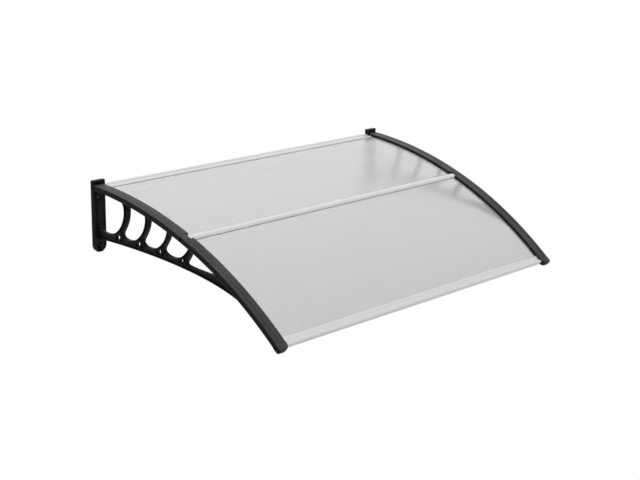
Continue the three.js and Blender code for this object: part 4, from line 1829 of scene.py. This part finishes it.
@dataclass(frozen=True)
class FrostedSheet:
    """Milky translucent sheet: part of the light passes and spreads, with a faint waviness and clouding."""

    colour: Colour
    transmission: float
    roughness: float
    ior: float = 1.45
    shades: tuple[float, float] = (0.985, 1.015)
    cloud_scale: float = 3.5
    cloud_tone: float = 0.9
    cloud_gloss: float = 0.06
    streak_scale: float = 30.0
    streak_stretch: tuple[float, float, float] = (0.04, 1, 1)
    streak_tone: float = 0.5
    frost_scale: float = 900.0
    frost_gloss: float = 0.05
    frost_height: float = 0.04
    wave_depth: float = 1.2 * MM
    wave_strength: float = 0.5

    def material(self, name: str) -> bpy.types.Material:
        """Clouds and streaks along the width mix two shades, and clouds with a fine frost bend the surface.

        Args:
            name: The material's name.

        Returns:
            The material.
        """
        made = bpy.data.materials.new(name)
        board = Board(made)
        clouds = board.noise(self.cloud_scale, detail=3)
        frost = board.noise(self.frost_scale, detail=2)
        streaks = board.noise(self.streak_scale, detail=3, stretch=self.streak_stretch)
        tone = (0.5 + clouds.swing(self.cloud_tone) + streaks.swing(self.streak_tone)).clamped()
        board.principled({
            "Base Color": board.tones(tone, self.colour, self.shades),
            "Roughness": self.roughness + clouds.swing(self.cloud_gloss) + frost.swing(self.frost_gloss),
            "IOR": self.ior,
            "Transmission Weight": self.transmission,
            "Normal": board.bump(frost * self.frost_height + clouds, self.wave_depth, self.wave_strength),
        })
        return made


@dataclass(frozen=True)
class AnodisedAluminium:
    """Satin anodised extrusion: die lines along its length, a soft bloom, and a painted highlight that makes
    the rounded edges a little brighter.
    """

    colour: Colour
    roughness: float
    metallic: float = 0.7
    shades: tuple[float, float] = (0.93, 1.05)
    # Painted highlight: how much paler the base colour gets on the rounded edges.
    edge_tone: float = 0.25
    line_scale: float = 420.0
    line_stretch: tuple[float, float, float] = (0.004, 1, 1)
    line_tone: float = 0.8
    line_gloss: float = 0.18
    line_depth: float = 0.05 * MM
    line_strength: float = 0.5
    bloom_scale: float = 7.0
    bloom_tone: float = 0.6
    bloom_gloss: float = 0.12

    def material(self, name: str) -> bpy.types.Material:
        """Die lines, bloom and a painted highlight on the rounded edges mix two shades, and the lines bend
        the surface.

        Args:
            name: The material's name.

        Returns:
            The material.
        """
        made = bpy.data.materials.new(name)
        board = Board(made)
        lines = board.noise(self.line_scale, detail=3, stretch=self.line_stretch)
        bloom = board.noise(self.bloom_scale, detail=4)
        uneven = lines.swing(self.line_tone) + bloom.swing(self.bloom_tone)
        # Painted highlight: the base colour is made paler on the rounded edges.
        tone = (0.5 + uneven + self.edge_tone * board.edge()).clamped()
        board.principled({
            "Base Color": board.tones(tone, self.colour, self.shades),
            "Roughness": self.roughness + lines.swing(self.line_gloss) + bloom.swing(self.bloom_gloss),
            "Metallic": self.metallic,
            "Normal": board.bump(lines, self.line_depth, self.line_strength),
        })
        return made


@dataclass(frozen=True)
class ZincSteel:
    """Zinc-plated screw steel with a mottled, slightly crystalline plating."""

    colour: Colour
    roughness: float
    shades: tuple[float, float] = (0.8, 1.15)
    mottle_scale: float = 700.0
    mottle_contrast: float = 1.4
    mottle_gloss: float = 0.25
    cell_scale: float = 1600.0
    cell_tone: float = 0.2
    plating_depth: float = 0.03 * MM
    plating_strength: float = 0.4

    def material(self, name: str) -> bpy.types.Material:
        """Mottling and small cells mix two shades, and the mottling bends the surface.

        Args:
            name: The material's name.

        Returns:
            The material.
        """
        made = bpy.data.materials.new(name)
        board = Board(made)
        mottle = board.noise(self.mottle_scale, detail=3)
        cells = board.cells(self.cell_scale)
        tone = (mottle.contrast(self.mottle_contrast) + self.cell_tone * cells).clamped()
        board.principled({
            "Base Color": board.tones(tone, self.colour, self.shades),
            "Roughness": self.roughness + mottle.swing(self.mottle_gloss),
            "Metallic": 1.0,
            "Normal": board.bump(mottle, self.plating_depth, self.plating_strength),
        })
        return made


@dataclass(frozen=True)
class Studio:
    """Camera, a soft lamp, white surroundings and a pale floor well below the awning."""

    eye: tuple[float, float, float] = (-3.085, -3.1094, 0.856)
    azimuth: float = math.radians(-47.775)
    pitch: float = math.radians(14.241)
    roll: float = math.radians(0.527)
    focal_pixels: float = 1461.24
    image_width: int = 640
    sensor: float = 36.0
    clip_end: float = 200.0
    floor_drop: float = 2.6
    floor_size: float = 60.0
    floor_tone: float = 0.2
    floor_white: float = 0.82
    fade_start: float = 2.0
    fade_run: float = 2.5
    soft_light: float = 0.05
    lamp_place: tuple[float, float, float] = (7.0, 4.5, 20.0)
    lamp_aim: tuple[float, float, float] = (0.0, -0.35, -0.1)
    lamp_size: float = 10.0
    lamp_power: float = 6900.0

    def camera(self) -> None:
        """Camera at the photo's angle: it looks along the azimuth, tips down by the pitch, then rolls."""
        sin, cos = math.sin(self.azimuth), math.cos(self.azimuth)
        ahead = np.array([-sin * math.cos(self.pitch), cos * math.cos(self.pitch), -math.sin(self.pitch)])
        level = np.array([cos, sin, 0.0])
        rise = np.cross(level, ahead)
        right = math.cos(self.roll) * level + math.sin(self.roll) * rise
        up = math.cos(self.roll) * rise - math.sin(self.roll) * level
        data = bpy.data.cameras.new("camera")
        data.sensor_width = self.sensor
        data.lens = self.focal_pixels * self.sensor / self.image_width
        data.clip_end = self.clip_end
        item = new_object("camera", data)
        stand(item, right, up, -ahead, self.eye)
        bpy.context.scene.camera = item

    def seen(self, board: Board) -> Value:
        """1 for rays that show the background: from the camera, a gloss or through the sheet.

        Args:
            board: The node tree that asks.

        Returns:
            The value.
        """
        path = board.add("ShaderNodeLightPath")
        kinds = ("Is Camera Ray", "Is Glossy Ray", "Is Transmission Ray")
        camera, glossy, through = [board.value(path, kind) for kind in kinds]
        return (camera + glossy + through).clamped()

    def surroundings(self) -> None:
        """World that is white where it is seen, and lights the object softly."""
        world = bpy.data.worlds.new("surroundings")
        board = Board(world)
        plain = board.add("ShaderNodeBackground", {}, {"Color": WHITE, "Strength": self.soft_light})
        white = board.add("ShaderNodeBackground", {}, {"Color": WHITE, "Strength": 1.0})
        board.mixed(self.seen(board), plain, white)
        bpy.context.scene.world = world

    def floor(self) -> None:
        """A wide pale floor that keeps a faint shadow, and is all white from a little way off."""
        mesh = bpy.data.meshes.new("floor")
        corners = np.array([[-1, -1], [1, -1], [1, 1], [-1, 1]]) * self.floor_size / 2
        mesh.from_pydata(np.insert(corners, 2, -self.floor_drop, axis=1).tolist(), [], [[0, 1, 2, 3]])
        made = bpy.data.materials.new("pale_floor")
        board = Board(made)
        matt = board.add("ShaderNodeBsdfDiffuse", {}, {"Color": (*[self.floor_tone] * 3, 1.0)})
        white = board.add("ShaderNodeEmission", {}, {"Color": WHITE, "Strength": 1.0})
        length = board.add("ShaderNodeVectorMath", {"operation": "LENGTH"}, {0: board.coordinates()})
        far = ((board.value(length, "Value") - self.fade_start) * (1 / self.fade_run)).clamped()
        board.mixed(self.seen(board) * (self.floor_white + (1 - self.floor_white) * far), matt, white)
        mesh.materials.append(made)
        item = new_object("floor", mesh)

    def lamp(self) -> None:
        """A wide soft lamp high up, which isn't itself seen in a gloss or through the sheet."""
        data = bpy.data.lights.new("lamp", "AREA")
        data.size = self.lamp_size
        data.energy = self.lamp_power
        item = new_object("lamp", data)
        item.visible_glossy = False
        item.visible_transmission = False
        back = unit(np.array(self.lamp_place) - self.lamp_aim)
        level = unit(np.cross([0.0, 0.0, 1.0], back))
        stand(item, level, np.cross(back, level), back, self.lamp_place)

    def build(self) -> None:
        """Everything round the object."""
        self.surroundings()
        self.floor()
        self.lamp()
        self.camera()
        bpy.context.scene.view_settings.view_transform = "Standard"


@dataclass(frozen=True)
class Piece:
    """A finished mesh for one CAD node, with the slot and the material that it takes."""

    node: str
    shell: Shell
    slot: Slot
    material: bpy.types.Material

    def place(self) -> None:
        """Puts the mesh in the scene in place of its CAD node, riding on the part's one body."""
        mesh = self.shell.to_mesh(f"{self.node}_skin")
        mesh.shade_smooth()
        mesh.set_sharp_from_angle(angle=SHARP_ANGLE)
        mesh.materials.append(self.material)
        item = new_object(f"{self.node}_skin", mesh)
        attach(item, BODY)
        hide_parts(self.node)
        LOG.info("%s: %d points, %d faces", item.name, len(mesh.vertices), len(mesh.polygons))


def default_finishes() -> dict[Slot, Finish]:
    """The finish of each slot.

    Returns:
        The finishes.
    """
    return {
        Slot.BRACKET: MouldedPlastic((0.052, 0.052, 0.053), roughness=0.46),
        Slot.CLAMP: MouldedPlastic((0.054, 0.054, 0.055), roughness=0.42),
        Slot.SHEET: FrostedSheet((0.725, 0.727, 0.73), transmission=0.65, roughness=0.2),
        Slot.RAIL: AnodisedAluminium((0.69, 0.695, 0.7), roughness=0.34),
        Slot.SCREW: ZincSteel((0.5, 0.505, 0.51), roughness=0.32),
    }


@dataclass
class Awning:
    """The whole awning: it builds each sub-assembly and dresses its pieces."""

    layout: Layout = field(default_factory=Layout)
    finishes: dict[Slot, Finish] = field(default_factory=default_finishes)

    def side_shells(self, fasteners: Fasteners) -> list[tuple[str, Shell, Slot]]:
        """The left bracket, clamps and screws.

        Args:
            fasteners: The screws of one side.

        Returns:
            Name, shell and slot of each.
        """
        a = self.layout
        made = [("bracket", Bracket(a, Lattice(a), fasteners).shell(), Slot.BRACKET)]
        for row in a.clamp_spans:
            made.append((f"{row.value}_clamp", Clamp(a, fasteners).shell(row), Slot.CLAMP))
            for k, s in enumerate(a.clamp_screws(row), 1):
                made.append((f"{row.value}_clamp_screw_{k}", fasteners.clamp_screw(float(s)), Slot.SCREW))
        for end in fasteners.rail_ends():
            made.append((f"{end.row.value}_rail_screw", fasteners.rail_screw(end), Slot.SCREW))
        return made

    def pieces(self) -> list[Piece]:
        """Every piece: the left side, its mirror image on the right, the panels and the rails.

        Returns:
            The pieces with their nodes, slots and materials.
        """
        a = self.layout
        fasteners = Fasteners(a)
        panel, rail = Panel(a, fasteners), EdgeRail(a, fasteners)
        left = self.side_shells(fasteners)
        made = [(f"{Side.LEFT.value}_{name}", shell, slot) for name, shell, slot in left]
        made += [(f"{Side.RIGHT.value}_{name}", mirrored(shell), slot) for name, shell, slot in left]
        made += [(f"{row.value}_panel", panel.shell(row), Slot.SHEET) for row in panel.spans()]
        made += [(f"{row.value}_rail", rail.shell(row), Slot.RAIL) for row in (Row.REAR, Row.FRONT)]
        made.append((f"{Row.MIDDLE.value}_rail", MiddleRail(a, fasteners).shell(), Slot.RAIL))
        materials = {slot: finish.material(slot.value) for slot, finish in self.finishes.items()}
        return [Piece(node, shell, slot, materials[slot]) for node, shell, slot in made]


def main() -> None:
    """Builds the awning's looks and the studio."""
    logging.basicConfig(level=logging.INFO, format="%(name)s: %(message)s")
    for piece in Awning().pieces():
        piece.place()
    Studio().build()


if __name__ == "__main__":
    main()
